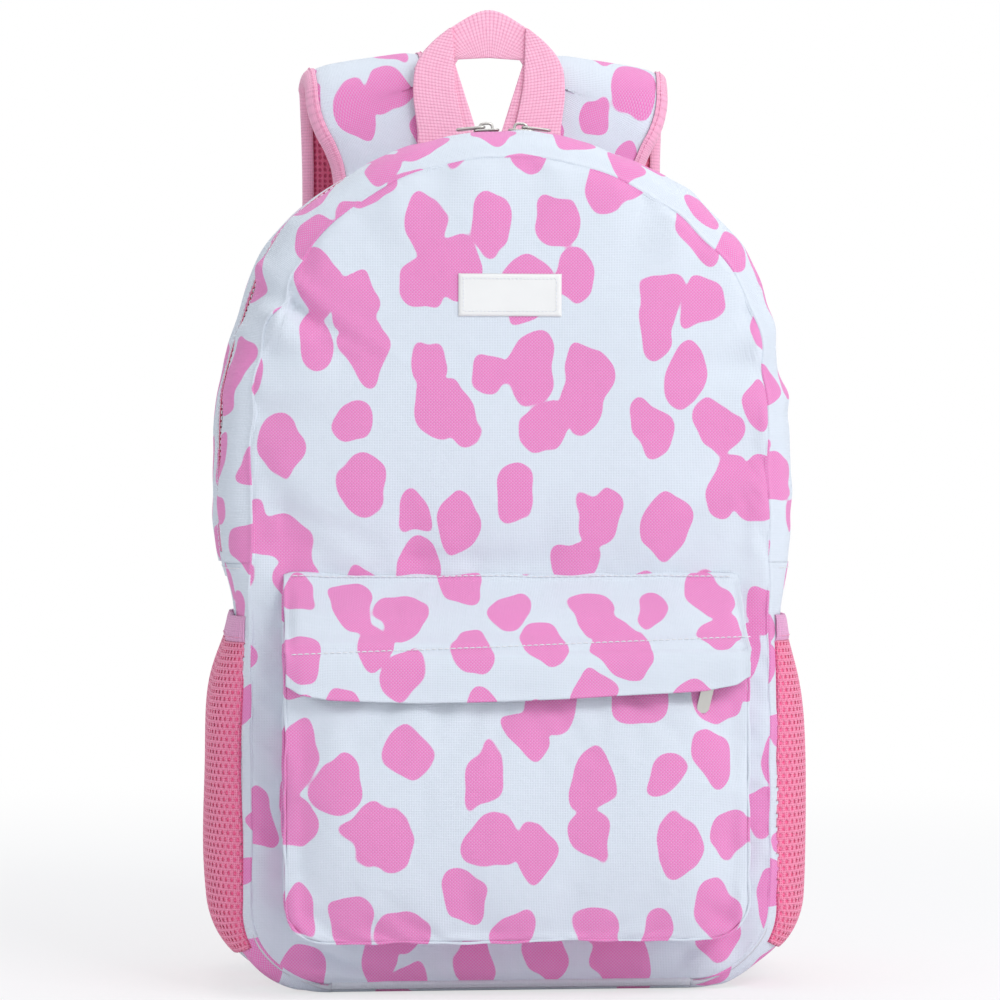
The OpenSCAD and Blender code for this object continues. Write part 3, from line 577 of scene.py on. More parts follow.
def stitches(name, path, normal, body, mat, pitch=2.6, length=2.0, r=0.28):
    """A sewn row: each stitch is a short raised loop of thread that dips into the cloth at both ends.
    path and normal are n by 3 in mm."""
    path = np.asarray(path, float)
    mid = resample(np.hstack([path, np.broadcast_to(normal, path.shape)]), pitch)
    if len(mid) < 3:
        return None
    nn, p = unit(mid[:, 3:]), mid[:, :3]
    t = along(p)
    side = unit(np.cross(t, nn))
    prof_t = np.array([-0.5, -0.36, 0.0, 0.36, 0.5])
    prof_h = np.array([-0.5, 0.45, 0.8, 0.45, -0.5]) * r * 1.3
    prof_r = np.array([0.55, 0.9, 1.0, 0.9, 0.55]) * r
    ring = [(math.cos(a), math.sin(a)) for a in np.arange(6) * PI / 3]
    verts, faces = [], []
    for i in range(len(p)):
        base = len(verts)
        for k in range(5):
            c = p[i] + t[i] * prof_t[k] * length + nn[i] * prof_h[k]
            verts += [c + side[i] * (a * prof_r[k]) + nn[i] * (b * prof_r[k]) for a, b in ring]
        faces += quads(5, 6, wrap_m=True, start=base)
        faces += [tuple(base + j for j in range(6))[::-1], tuple(base + 24 + j for j in range(6))]
    ob = mesh(name, verts, faces, mat)
    if body:
        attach(ob, body)
    return ob


def uv_of(a, b, scale=0.001):
    return np.stack(np.broadcast_arrays(a, b), -1) * scale


# ---------------------------------------------------------------- the shell's cloth
def piece(ob, body=None, nodes=(), blend=None):
    if nodes:
        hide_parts(*nodes)
    if blend:
        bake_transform(ob)
    elif body:
        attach(ob, body)
    return ob


# pinches along the front seam, from the photo: length from the top, depth, half width
PINCH = [(-144.0, 4.2, 7.0), (-120.0, 1.6, 10.0), (-176.0, 2.0, 9.0), (-205.0, 1.4, 10.0), (150.0, 1.8, 11.0),
         (184.0, 2.4, 10.0), (108.0, 1.6, 12.0), (78.0, 1.0, 9.0), (-84.0, 0.9, 12.0), (228.0, 1.2, 12.0),
         (-262.0, 1.0, 14.0)]
DRAWN = [(-150.0, 5.5, 34.0), (162.0, 2.5, 34.0)]
SHARP = -153.0   # where along the seam the cloth stands forward beside the sharp gather
# soft folds in the front cloth, seen from the front: x and z of both ends, depth, half width.
# A minus depth stands out.
FOLDS = [(-112, 346, -86, 316, 3.4, 4.6), (-121, 335, -99, 306, -2.0, 6.5), (-96, 357, -72, 336, -1.6, 6.5),
         (66, 392, 58, 352, 1.5, 8), (84, 388, 79, 350, -1.5, 7), (119, 332, 100, 306, 1.5, 7),
         (124, 316, 108, 286, -1.2, 7),
         (-124, 262, -106, 226, 1.5, 6.5), (-116, 238, -60, 219, 1.3, 5.5), (118, 244, 64, 219, 1.4, 5.5),
         (124, 262, 108, 232, -1.1, 7),
         (-50, 214, 40, 213, 1.4, 5), (-40, 400, -46, 360, 0.9, 9), (10, 404, 14, 372, 0.8, 9),
         (-94, 22, -55, 6, 2.6, 3.4), (-98, 13, -66, 3, -1.6, 4), (96, 24, 70, 8, 1.6, 4),
         (20, 22, 44, 8, 1.0, 5)]


def dent(s):
    """How far the front seam is drawn in by its gathers."""
    s = np.asarray(s, float)
    d = sum(a * np.exp(-((s - c) / w) ** 2) for c, a, w in PINCH + DRAWN)
    return d + 0.35 * wavy(3, s, f=0.09)


def seam_pt(s, o=0.0, y=-HD):
    x, z, nx, nz = loop(s)
    r = o - dent(s)
    return np.stack(np.broadcast_arrays(x + nx * r, y, z + nz * r), -1)


def coons(edge, ca, cb, n, m):
    """Fills the closed curve edge(s), which has corners at +-ca and +-cb (lengths), with an n by m grid."""
    u, v = np.linspace(0, 1, n), np.linspace(0, 1, m)
    top = edge(-ca + 2 * ca * u)
    low = edge(np.where(u < 0.5, -cb - (L5 - cb) * 2 * u, cb + (L5 - cb) * 2 * (1 - u)))
    left, right = edge(-cb + (cb - ca) * v), edge(cb - (cb - ca) * v)
    u, v = u[:, None, None], v[None, :, None]
    flat = (1 - v) * low[:, None] + v * top[:, None] + (1 - u) * left[None] + u * right[None]
    c00, c10, c01, c11 = low[0], low[-1], top[0], top[-1]
    return flat - ((1 - u) * (1 - v) * c00 + u * (1 - v) * c10 + (1 - u) * v * c01 + u * v * c11)


PK_HW, PK_Z0, PK_Z1, PK_BACK, PK_FRONT = 112.0, 30.0, 206.0, -67.5, -100.5


def edge_dist(pts, lo, hi, n=900):
    """Distance to the front seam in the drawing plane, and the seam length at the nearest place."""
    s = np.linspace(lo, hi, n)
    x, z, _, _ = loop(s)
    d2 = (pts[..., 0, None] - x) ** 2 + (pts[..., 2, None] - z) ** 2
    i = d2.argmin(-1)
    return np.sqrt(np.take_along_axis(d2, i[..., None], -1)[..., 0]), s[i]


NU, NV = 56, 84


def fold_depth(x, z, folds):
    """How deep the folds press the cloth in: each fades out along its line and to its sides."""
    out = 0.0 * x
    for x0, z0, x1, z1, amp, wid in folds:
        lx, lz = x1 - x0, z1 - z0
        n2 = lx * lx + lz * lz
        t = ((x - x0) * lx + (z - z0) * lz) / n2
        off = np.abs((x - x0) * lz - (z - z0) * lx) / math.sqrt(n2)
        ends = (np.exp(-(np.clip(-t, 0, None) * math.sqrt(n2) / wid) ** 2) * (1 - 0.75 * step(t, 0.2, 1.25))
                * (t < 1.25))
        out = out + amp * ends * np.exp(-(off / (wid * (0.75 + 0.6 * np.clip(t, 0, 1)))) ** 2)
    return out

front = coons(lambda s: seam_pt(s, -0.4, -HD - 1.2), L1 + (L2 - L1) * 0.55, L3 + (L4 - L3) * 0.5, NU, NV)
flat_uv = front[..., [0, 2]] * 0.001
dist, near = edge_dist(front, -L5, L5)
dist = np.clip(dist - dent(near) - 0.4, 0, None)
# the filled bag rounds its front; below, the pocket is sewn on and holds the cloth
held = step(PK_HW + 8 - np.abs(front[..., 0]), 0, 12) * step(PK_Z1 + 10 - front[..., 2], 0, 26) \
    * step(front[..., 2] - PK_Z0 + 6, 0, 12)
puffed = 1.4 * np.sqrt(np.clip(dist, 0, 8) / 8) + 2.2 * step(dist, 0, 70) * (1 - held)
front[..., 1] -= puffed
front_cloth = grid("front_cloth", front, flat_uv, [COW, LINING])
rim = np.zeros((NU, NV))
rim[[0, -1], :] = 1
rim[:, [0, -1]] = 1
pin = np.maximum(rim, np.where(held > 0.5, 1.0, 0.0))
inflate(front_cloth, pin.ravel(), 2.2, 20, slack=0.015, cap=6.5)
finer(front_cloth)
c = coords(front_cloth) * 1000
dist, near = edge_dist(c, -L5, L5)
dist = np.clip(dist - dent(near) - 0.4, 0, None)
held = (step(PK_HW + 8 - np.abs(c[:, 0]), 0, 12) * step(PK_Z1 + 6 - c[:, 2], 0, 14)
        * step(c[:, 2] - PK_Z0 + 6, 0, 12))
tuck = 0.0
for sc, amp, wid in PINCH:
    # each gather runs in from the seam as a narrow furrow with a soft ridge beside it
    ds = near - sc
    run = np.exp(-dist / (10 + 6 * amp))
    tuck = tuck + amp * run * (0.8 * np.exp(-(ds / (wid * 0.6)) ** 2)
                               - 0.6 * np.exp(-((ds - wid * 1.2) / (wid * 0.8)) ** 2)
                               - 0.5 * np.exp(-((ds + wid * 1.3) / wid) ** 2))
fine = 0.55 * wavy(11, near, f=0.24) * np.exp(-dist / 10) + 0.75 * wavy(12, near, f=0.09) * np.exp(-dist / 26)
soft = 0.6 * wavy(13, c[:, 0], c[:, 2], f=0.035) * step(dist, 0, 30) + fold_depth(c[:, 0], c[:, 2], FOLDS)
c[:, 1] += (tuck + fine + soft) * step(dist, 0, 4) * (1 - held)
# follows the lip beside the sharp gather
c[:, 1] -= 2.8 * np.exp(-((near - SHARP) / 5.5) ** 2) * np.exp(-(dist / 6.0) ** 2)
set_coords(front_cloth, c * 0.001)
finer(front_cloth)
shell(front_cloth, 1.0, -1.0, 1)
piece(front_cloth, nodes=["front_panel_upper", "front_panel_lower"], blend=(212, 232))


# the gusset's front edge turns in over the front cloth: y past the seam, height
LIP = np.array([(0.2, -1.9), (-1.3, -1.3), (-1.9, -0.2), (-1.5, 0.7), (-0.4, 1.0)])


def rows(y0, y1, m):
    """Depths and heights across a gusset from y0 to y1, with the turned lip where it starts at the seam."""
    if y0 > -HD:
        return np.linspace(y0, y1, m), np.zeros(m)
    y = np.linspace(-HD + 2.0, y1, m - 5)
    allowance = 0.55 * np.exp(-((y + HD - 7.5) / 2.4) ** 2)
    return np.r_[-HD + LIP[:, 0], y], np.r_[LIP[:, 1], 0.75 * np.exp(-(y + HD - 2) / 3.0) + allowance]


def turned(s, k):
    """How the gusset's front edge is drawn in at the gathers.
    It stands forward just beside the sharp one."""
    _, _, nx, nz = loop(s)
    pull = dent(s) * (1 - k) ** 1.6
    crease = (sum(a * 0.9 * np.exp(-((s - c - w * 1.1) / (w * 0.7)) ** 2) for c, a, w in PINCH)
              * np.sin(PI * k) ** 0.8)
    ahead = -3.2 * np.exp(-((s - SHARP) / 5.5) ** 2) * np.exp(-(k / 0.22) ** 2)
    return np.stack(np.broadcast_arrays(nx * (crease - pull), ahead, nz * (crease - pull)), -1)


def across(y, o, y0):
    arc = np.concatenate([[0], np.cumsum(np.hypot(np.diff(y), np.diff(prof(y) + o)))])
    return arc[None] + (40 if y0 < 0 else 110)


def strip(name, y0, y1, s_hi, n, m, mats, seed, edge):
    """A gusset strip over the arch between two depths, gathered a little at its seams.
    edge adds height by depth."""
    s = np.linspace(-s_hi, s_hi, n)[:, None]
    y, lip = rows(y0, y1, m)
    k = np.clip((y - y0) / (y1 - y0), 0, 1)[None]
    o = (0.55 * wavy(seed, s + 0 * y, y + 0 * s, f=0.055) + 0.35
         * wavy(seed + 1, s + 0 * y, y * 0.3 + 0 * s, f=0.17))
    o = o * np.sin(PI * k) ** 0.6 + lip + edge(y)
    pts = skin(s, y[None], o)
    if y0 < -60:
        pts = pts + turned(s, k)
    ob = grid(name, pts, uv_of(s, across(y, lip, y0)), mats)
    finer(ob)
    return shell(ob, 1.0, -1.0, 1)


def low_edge(y):
    return -1.6 * step(y, -46, -29)


def high_edge(y):
    return 2.2 * step(y, -13, 8) * prof(y) / BULGE


gf = strip("front_gusset_cloth", -HD, -27.0, S_FOLD, 300, 22, [COW_B, LINING], 21, low_edge)
piece(gf, nodes=["front_zip_gusset"], blend=(212, 232))
gr = strip("rear_gusset_cloth", -13.0, HD, S_FOLD, 260, 18, [COW_B, LINING], 31, high_edge)
piece(gr, "bag", ["rear_zip_gusset"])


def lower(name, s0, s1, n, m, mats, seed):
    s = np.linspace(s0, s1, n)[:, None]
    y, lip = rows(-HD, HD, m)
    k = np.clip((y + HD) / (2 * HD), 0, 1)[None]
    deep = np.sin(PI * k) ** 0.7
    o = 0.8 * wavy(seed, s + 0 * y, y + 0 * s, f=0.04) * deep * step(L3 + 30 - np.abs(s), 0, 30)
    # slanting folds where the base corner sags
    kk = np.exp(-((np.abs(s) - L3 - 26) / 34) ** 2)
    o = (o + kk * (2.0 * np.sin((y - 1.1 * (np.abs(s) - L3)) * 0.13 + seed)
                   + 0.8 * wavy(seed + 5, s + 0 * y, y + 0 * s, f=0.13)) * deep)
    o = (o + lip) * step(L4 - np.abs(s), 0, 14)
    pts = skin(s, y[None], np.where(np.abs(s) > L4 - 12, np.minimum(o, 0.0), o))
    _, _, nx, nz = loop(s)
    pull = dent(s) * (1 - k) ** 4
    pts = pts - np.stack([nx * pull, 0 * pull, nz * pull], -1)
    pts[..., 2] = np.maximum(pts[..., 2], 0.15)
    ob = grid(name, pts, uv_of(s, across(y, lip, -HD)), mats)
    finer(ob)
    return shell(ob, 1.0, -1.0, 1)


for sd, nm in ((-1, "left"), (1, "right")):
    ob = lower("side_cloth_" + nm, sd * S_FOLD, sd * L4, 80, 46, [COW_B, LINING], 41 + sd)
    piece(ob, "bag", ["side_panel_" + nm])
bx = np.linspace(-(HW - CORNER), HW - CORNER, 30)[:, None]
by = rows(-HD, HD, 46)[0][None]
base = skin(L4 + HW - CORNER - np.abs(bx), by, 0.0)
base[..., 0] = bx
base[..., 2] = np.maximum(base[..., 2], 0.15)
ob = grid("base_cloth", base, uv_of(bx + 0 * by, by + 0 * bx), [COW_B, LINING])
finer(ob)
shell(ob, 1.2, -1.0, 1)
piece(ob, "bag", ["bottom_panel"])

# front seam: the cord of cloth that shows inside the turned lip, with its gathers
N_RIDGE = 420
s = np.linspace(-L5, L5, N_RIDGE, endpoint=False)
x, z, nx, nz = loop(s)
ctr = seam_pt(s, -1.0, -HD - 0.9)
out = np.stack([nx, 0 * nx, nz], -1)
fwd = np.tile([0.0, -1.0, 0.0], (N_RIDGE, 1))
ring = np.array([(math.cos(a), math.sin(a)) for a in np.arange(12) * PI / 6])
size = 1 + 0.10 * wavy(51, s, f=0.25)[:, None, None] + 0.06 * wavy(52, s, f=0.6)[:, None, None]
ob = sweep("front_seam_ridge", ctr, out, fwd, ring * [0.8, 0.8] * size, COW, closed=True, flat=True)
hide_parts("piping_upper", "piping_lower")
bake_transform(ob)

# back panel, its seam ridge
ctr = np.stack([x + nx * 0.8, 0 * x + HD + 1.6, z + nz * 0.8], -1)
ob = sweep("rear_seam_ridge", ctr, out, -fwd, ring * [1.5, 1.6] * size, PLAIN, closed=True)
piece(ob, "bag")


def back_edge(s):
    x, z, nx, nz = loop(s)
    return np.stack([x - nx * 0.5, 0 * x + HD + 1.2, z - nz * 0.5], -1)


bk = coons(back_edge, L1 + (L2 - L1) * 0.55, L3 + (L4 - L3) * 0.5, 50, 76)
bd, _ = edge_dist(bk, -L5, L5)
bk[..., 1] += 1.6 * np.sqrt(np.clip(bd, 0, 9) / 9) + 0.25 * wavy(61, bk[..., 0], bk[..., 2],
                                                                 f=0.05) * step(bd, 0, 20) \
    - 0.4 * step(bd, 0, 20)
ob = grid("back_cloth", bk, bk[..., [0, 2]] * [-0.001, 0.001], [BACK, LINING])
finer(ob)
shell(ob, 1.6, -1.0, 1)
piece(ob, "bag", ["back_panel"])


# ---------------------------------------------------------------- main zip
def tape(name, y0, y1, body, node):
    s = np.linspace(-S_FOLD, S_FOLD, 300)[:, None]
    y = np.linspace(y0, y1, 6)[None]
    o = -2.05 + 0.10 * wavy(71, s + 0 * y, y + 0 * s, f=0.2)
    ob = grid(name, skin(s, y, o), uv_of(y + 0 * s, s + 0 * y), TAPE)
    shell(ob, 0.7, -1.0)
    return piece(ob, body, [node])


tape("zip_tape_front", -34.0, -20.5, "front_cover", "front_zip_tape")
tape("zip_tape_rear", -19.5, -6.0, "bag", "rear_zip_tape")


def teeth(name, place_fn, ss, y_back, y_tip, mat, wide=0.46, high=0.95, mid=1.05):
    """Rows of coil loops: each runs from the sewn side y_back to its locking tip y_tip."""
    ring = [(math.cos(a), math.sin(a)) for a in np.arange(6) * PI / 3]
    k = np.array([0.0, 0.18, 0.5, 0.82, 1.0])
    hh = np.array([0.55, 0.85, 0.9, 1.05, 0.6]) * high
    ww = np.array([0.7, 1.0, 0.85, 1.35, 0.8]) * wide
    verts, faces = [], []
    tips = np.broadcast_to(y_tip, len(ss))
    for s0, tip in zip(ss, tips):
        base = len(verts)
        y = y_back + (tip - y_back) * k
        for i in range(5):
            a = np.array([place_fn(s0 + c * ww[i], y[i], mid + d * hh[i]) for c, d in ring])
            verts += list(a)
        faces += quads(5, 6, wrap_m=True, start=base)
        faces += [tuple(base + j for j in range(6))[::-1], tuple(base + 24 + j for j in range(6))]
    return mesh(name, verts, faces, mat)


def on_arch(s, y, o):
    return skin(np.array([s]), np.array([y]), o - 2.0)[0]


PITCH = 1.5
ss = np.arange(-S_FOLD + 1, S_FOLD - 1, PITCH)
open_at = np.abs(ss) < 17            # between and under the sliders the chain is parted
ob = teeth("zip_coil_front", on_arch, ss, -23.0, np.where(open_at, -21.0, -19.8), COIL)
piece(ob, "front_cover", ["front_zip_coil"])
ob = teeth("zip_coil_rear", on_arch, ss + PITCH / 2, -17.0, np.where(open_at, -19.0, -20.2), COIL)
piece(ob, "bag", ["rear_zip_coil"])

s = np.linspace(-S_FOLD + 3, S_FOLD - 3, 400)
x, z, nx, nz = loop(s)
nrm = np.stack([nx, 0 * nx, nz], -1)
for nm, yy, body in (("front", -28.8, "front_cover"), ("rear", -11.2, "bag")):
    stitches("zip_stitch_" + nm, skin(s, yy + 0 * s, 0.3 + low_edge(yy) * (yy < ZIP_Y)), nrm, body, THREAD,
             pitch=3.0, length=2.3)
for sd, nm in ((-1, "left"), (1, "right")):
    # cross seam where the zip panel meets the side panel, with the zip's sewn end
    yy = np.linspace(-62, 62, 90)
    pts = skin(sd * (S_FOLD + 2.6) + 0 * yy, yy, 0.5)
    stitches("zip_end_stitch_" + nm, pts, np.tile([sd, 0.0, 0.0], (90, 1)), "bag", THREAD, pitch=3.0,
             length=2.3)
    yy = np.linspace(-31, -9, 12)[None]
    zz = np.linspace(-7, 5, 9)[:, None]
    lift = 1.5 * (1 - np.abs(zz / 12 + 1 / 12) ** 4) * (1 - np.abs((yy + 20) / 11) ** 6)
    pts = skin(sd * (S_FOLD - zz) + 0 * yy, yy + 0 * zz, -0.6 + lift)
    ob = grid("zip_end_tab_" + nm, pts, uv_of(yy + 0 * zz, zz + 0 * yy), PLAIN)
    finer(ob)
    shell(ob, 1.0)
    piece(ob, "bag")


# ---------------------------------------------------------------- front pocket
PR = 18.0
FACE_Z = 157.0


def u_path(k, top):
    """The pocket's U line from its left top (k = 0) to its right top (1); top is the side's height."""
    k = np.asarray(k, float)
    g = np.where(k < 0.5, -1.0, 1.0)
    a = np.abs(k - 0.5) * 2            # 0 at the middle of the bottom, 1 at the top
    flat, arc = PK_HW - PR, PR * PI / 2
    rise = top - PK_Z0 - PR
    l = a * (flat + arc + 127.0)
    t = np.clip((l - flat) / PR, 0, PI / 2)
    x = np.where(l < flat, l, flat + PR * np.sin(t))
    z = np.where(l < flat + arc, PK_Z0 + PR * (1 - np.cos(t)), PK_Z0 + PR + (l - flat - arc) / 127.0 * rise)
    nx = np.where(l < flat, 0, np.sin(t))
    nz = -np.cos(t)
    return g * x, z, g * nx, nz, g * l


k = np.linspace(0, 1, 190)[:, None]
v = np.linspace(0, 1, 12)[None]
yy = PK_BACK + (PK_FRONT - PK_BACK) * v
x, z, nx, nz, l = u_path(k, 204.0 + (167.0 - 204.0) * v)
o = (1.1 * wavy(81, l + 0 * v, v * 30 + 0 * l, f=0.06) - 0.8) * np.sin(PI * v)
pts = np.stack(np.broadcast_arrays(x + nx * o, yy, z + nz * o), -1)
ob = grid("pocket_side_cloth", pts, uv_of(l + 0 * v, yy + 0 * l), [COW_B, LINING])
finer(ob)
shell(ob, 1.2, -1.0, 1)
piece(ob, "bag", ["pocket_gusset"])

# face: blown up from its seams, with gathers under the zip and at the lower corners
n, m = 64, 44
u = np.linspace(-1, 1, n)[:, None]
v = np.linspace(0, 1, m)[None]
zz = PK_Z0 + (FACE_Z - PK_Z0) * (v ** 1.15)
d = np.clip(PK_Z0 + PR - zz, 0, None)
half = PK_HW - PR + np.sqrt(PR * PR - d * d)
xx = u * half
pts = np.stack(np.broadcast_arrays(xx, PK_FRONT - 1.2, zz + 0 * xx), -1)
uvp = pts[..., [0, 2]] * 0.001
ed = np.minimum(np.minimum(half - np.abs(xx), (zz - PK_Z0) + 0 * xx), (FACE_Z - zz) * 1.4 + 0 * xx)
pts[..., 1] -= 3.6 * np.sqrt(np.clip(ed, 0, 26) / 26) + 1.5 * step(ed, 0, 50)
face = grid("pocket_face_cloth", pts, uvp, [COW_P, LINING])
rim = np.zeros((n, m))
rim[[0, -1]] = 1
rim[:, [0, -1]] = 1
inflate(face, rim.ravel(), 3.0, 18, slack=0.018, cap=6.5)
finer(face)
c = coords(face) * 1000
cx, cz = c[:, 0], c[:, 2]
low, up, side = cz - PK_Z0, FACE_Z - cz, PK_HW - np.abs(cx)
ed = np.clip(np.minimum(np.minimum(low, up), side), 0, None)
w = 0.7 * wavy(82, cx, cz, f=0.05) * step(ed, 0, 20) + 0.8 * wavy(83, cx, f=0.17) * np.exp(-low / 11) \
    + 0.7 * wavy(84, cx, f=0.14) * np.exp(-up / 18) + 0.7 * wavy(85, cz, f=0.15) * np.exp(-side / 10)
PK_FOLDS = [(-110, 34, -84, 52, 2.0, 5), (-108, 52, -92, 74, -1.2, 6), (110, 34, 82, 50, 1.8, 5),
            (108, 54, 94, 80, -1.0, 6),
            (-70, 32, -66, 50, 1.0, 5), (-34, 31, -32, 46, 0.8, 5), (30, 31, 34, 48, 0.9, 5),
            (64, 31, 70, 52, 1.0, 5),
            (-96, 158, -78, 120, 1.4, 7), (60, 158, 52, 128, 1.0, 7), (96, 158, 88, 118, 1.3, 7)]
c[:, 1] += (w + fold_depth(cx, cz, PK_FOLDS)) * step(ed, 0, 4)
set_coords(face, c * 0.001)
finer(face)
shell(face, 1.2, -1.0, 1)
piece(face, "bag", ["pocket_face"])

# top and flap: one cloth from the back seam over the zip, hem tacked at the sides
PATH = np.array([(-67.4, 206.4), (-70, 204.6), (-75.8, 198.6), (-84, 189.9), (-92, 180.8), (-97.5, 176.4),
                 (-101.5, 174.6),
                 (-105, 172.6), (-107.8, 169.6), (-109.6, 164.0), (-110.4, 157.0), (-110.7, 150.5),
                 (-110.6, 146.5)])
fl = resample(PATH, 1.7)
HEM = ((-112, 153.5), (-106, 149.5), (-92, 147.0), (-50, 145.2), (0, 146.2), (30, 147.6), (90, 150.6),
       (106, 153.5), (112, 157.5))
xs = np.linspace(-PK_HW - 0.6, PK_HW + 0.6, 120)
hem = np.interp(xs, [a for a, _ in HEM], [b for _, b in HEM])
L = np.concatenate([[0], np.cumsum(np.linalg.norm(np.diff(fl, axis=0), axis=1))])
t = L / L[-1]
front_part = np.clip((172.6 - fl[:, 1]) / (172.6 - 146.5), 0, 1)
Z = fl[:, 1][None] + (hem[:, None] - 146.5) * front_part[None]
Y = np.broadcast_to(fl[:, 0][None], Z.shape).copy()
nn = np.stack([-np.gradient(fl[:, 1]), np.gradient(fl[:, 0])], 1)
nn = nn / np.linalg.norm(nn, axis=1, keepdims=True)
nn = nn * np.sign(-nn[:, :1] + nn[:, 1:] + 1e-9)
side_k = np.abs(xs)[:, None] / PK_HW
wob = 0.9 * wavy(86, xs[:, None] + 0 * Z, Z * 1.4, f=0.045) * np.sin(PI * np.clip(t * 1.25, 0, 1))[None] \
    + 0.35 * wavy(87, xs[:, None] + 0 * Z, f=0.16) * np.exp(-L / 12)[None]
wob += (1.5 * np.exp(-((xs[:, None] + 84 - (1 - t[None]) * 30) / 12) ** 2)
        * np.sin(PI * np.clip(t[None] * 1.6, 0, 1)) * -0.6)
wob += (1.2 * np.exp(-((xs[:, None] - 70 - t[None] * 34) / 11) ** 2)
        * np.sin(PI * np.clip(t[None] * 1.5, 0, 1)))
# a band of seam allowance along the back seam, a roll above the sewn line, and the line itself sunk in
at_line = L[np.argmin(np.abs(fl[:, 1] - 171.2))]
wob += (1.3 * (1 - step(L, 3.0, 4.4))[None] + 2.4 * (np.exp(-((L - 0.6 * at_line) / 12) ** 2)
                                                     * (1 + 0.3 * wavy(89, xs[:, None] + 0 * Z, f=0.05))))
wob -= 1.5 * np.exp(-((L - at_line) / 2.2) ** 2)[None]
wob += ((0.8 * np.exp(-((L[-1] - L) / 3.0) ** 2) + 0.9 * wavy(90, xs[:, None] + 0 * Z, f=0.07)
         * np.exp(-((L[-1] - L) / 9) ** 2)))
# its ends turn down to the sides of the pocket
wob -= 3.5 * step(side_k, 0.94, 1.0) ** 1.5 * np.sin(PI * np.clip(t[None] * 1.25, 0, 1))
wob *= np.clip((1 - side_k) * 30 + 0.25, 0, 1)
Y = Y + nn[:, 0][None] * wob
Z = Z + nn[:, 1][None] * wob
Y += 3.0 * step(side_k, 0.93, 1.0) * front_part[None]
pts = np.stack(np.broadcast_arrays(xs[:, None], Y, Z), -1)
flap = grid("pocket_top_flap", pts, uv_of(xs[:, None] + 0 * Z, 60 - L[None] + 0 * Z), [COW_P, LINING])
finer(flap)
shell(flap, 1.4, -1.0, 1)
piece(flap, "bag", ["pocket_top", "pocket_flap"])
FLAP_TREE = tree_of(flap)
r = np.argmin(np.abs(L - 2.6))
stitches("flap_top_stitch", pts[3:-3, r] + [0, nn[r, 0] * 0.2, nn[r, 1] * 0.2], np.array([0.0, *nn[r]]),
         "bag", THREAD, pitch=3.1, length=2.5, r=0.28)


def on_tree(tree, pix, every=1.6):
    """A line through image points, laid on a surface: points and normals in mm."""
    pts = resample(np.array(pix, float), every)
    hit = [place(tree, a, b) for a, b in pts]
    return np.array([h[0] for h in hit]) * 1000, np.array([h[1] for h in hit])


FRONT_TREE = tree_of(front_cloth)
p, nrm = on_tree(FLAP_TREE, [POINTS["flap_stitch_left"], POINTS["flap_stitch_right"]])
stitches("flap_stitch", p + nrm * 0.1, nrm, "bag", THREAD, pitch=3.1, length=2.5, r=0.3)

# turned seams round the pocket
k = np.linspace(0, 1, 220)
for nm, yy, top, r in (("back", PK_BACK - 0.8, 203.0, 0.8), ("front", PK_FRONT - 0.7, 167.0, 0.75)):
    x, z, nx, nz, l = u_path(k, top)
    w = 1 + 0.1 * wavy(88, l, f=0.3)[:, None, None]
    off = 0.5 + 0.5 * wavy(92, l, f=0.12)
    ctr = np.stack([x + nx * off, 0 * x + yy, z + nz * off], -1)
    ob = sweep("pocket_seam_" + nm, ctr, np.stack([nx, 0 * nx, nz], -1),
               np.tile([0.0, -1.0, 0.0], (len(k), 1)), ring * r * w, COW_P, flat=True)
    piece(ob, "bag")

# pocket zip, seen from below the flap
for nm, z0, z1 in (("upper", 0.9, 5.2), ("lower", -6.4, -0.9)):
    xs2 = np.linspace(-PK_HW + 0.5, PK_HW - 0.5, 60)[:, None]
    zz = np.linspace(163 + z0, 163 + z1, 5)[None]
    pts = np.stack(np.broadcast_arrays(xs2, PK_FRONT - 0.75, zz + 0 * xs2), -1)
    ob = grid("pocket_tape_" + nm + "_cloth", pts, uv_of(zz + 0 * xs2, xs2 + 0 * zz), TAPE)
    shell(ob, 0.7)
    piece(ob, "bag", ["pocket_tape_" + nm])
xs2 = np.arange(-PK_HW + 4, PK_HW - 4, 1.3)


def on_zip2(s, y, o):
    return np.array([s, PK_FRONT - 0.75 - o, 163 + y])


ob = teeth("pocket_coil_up", on_zip2, xs2, 2.5, np.where(xs2 > 86, 0.9, -0.15), COIL, wide=0.4, high=0.8,
           mid=0.9)
piece(ob, "bag", ["pocket_coil_upper"])
ob = teeth("pocket_coil_low", on_zip2, xs2 + 0.65, -2.5, np.where(xs2 > 86, -0.9, 0.15), COIL, wide=0.4,
           high=0.8, mid=0.9)
piece(ob, "bag", ["pocket_coil_lower"])

# label: a soft bare patch with a moulded border and a sewn line inside it
LABEL_W, LABEL_H = 51.0, 21.0
mid_l = np.array(place(FRONT_TREE, *POINTS["label"])[0]) * 1000


def patch(u, v):
    """Image position of a place on the patch, 0 to 1 across and down, from its middle."""
    p = mid_l + [(u - 0.5) * LABEL_W, 0, (0.5 - v) * LABEL_H]
    return pixel_of(p * 0.001)[0]


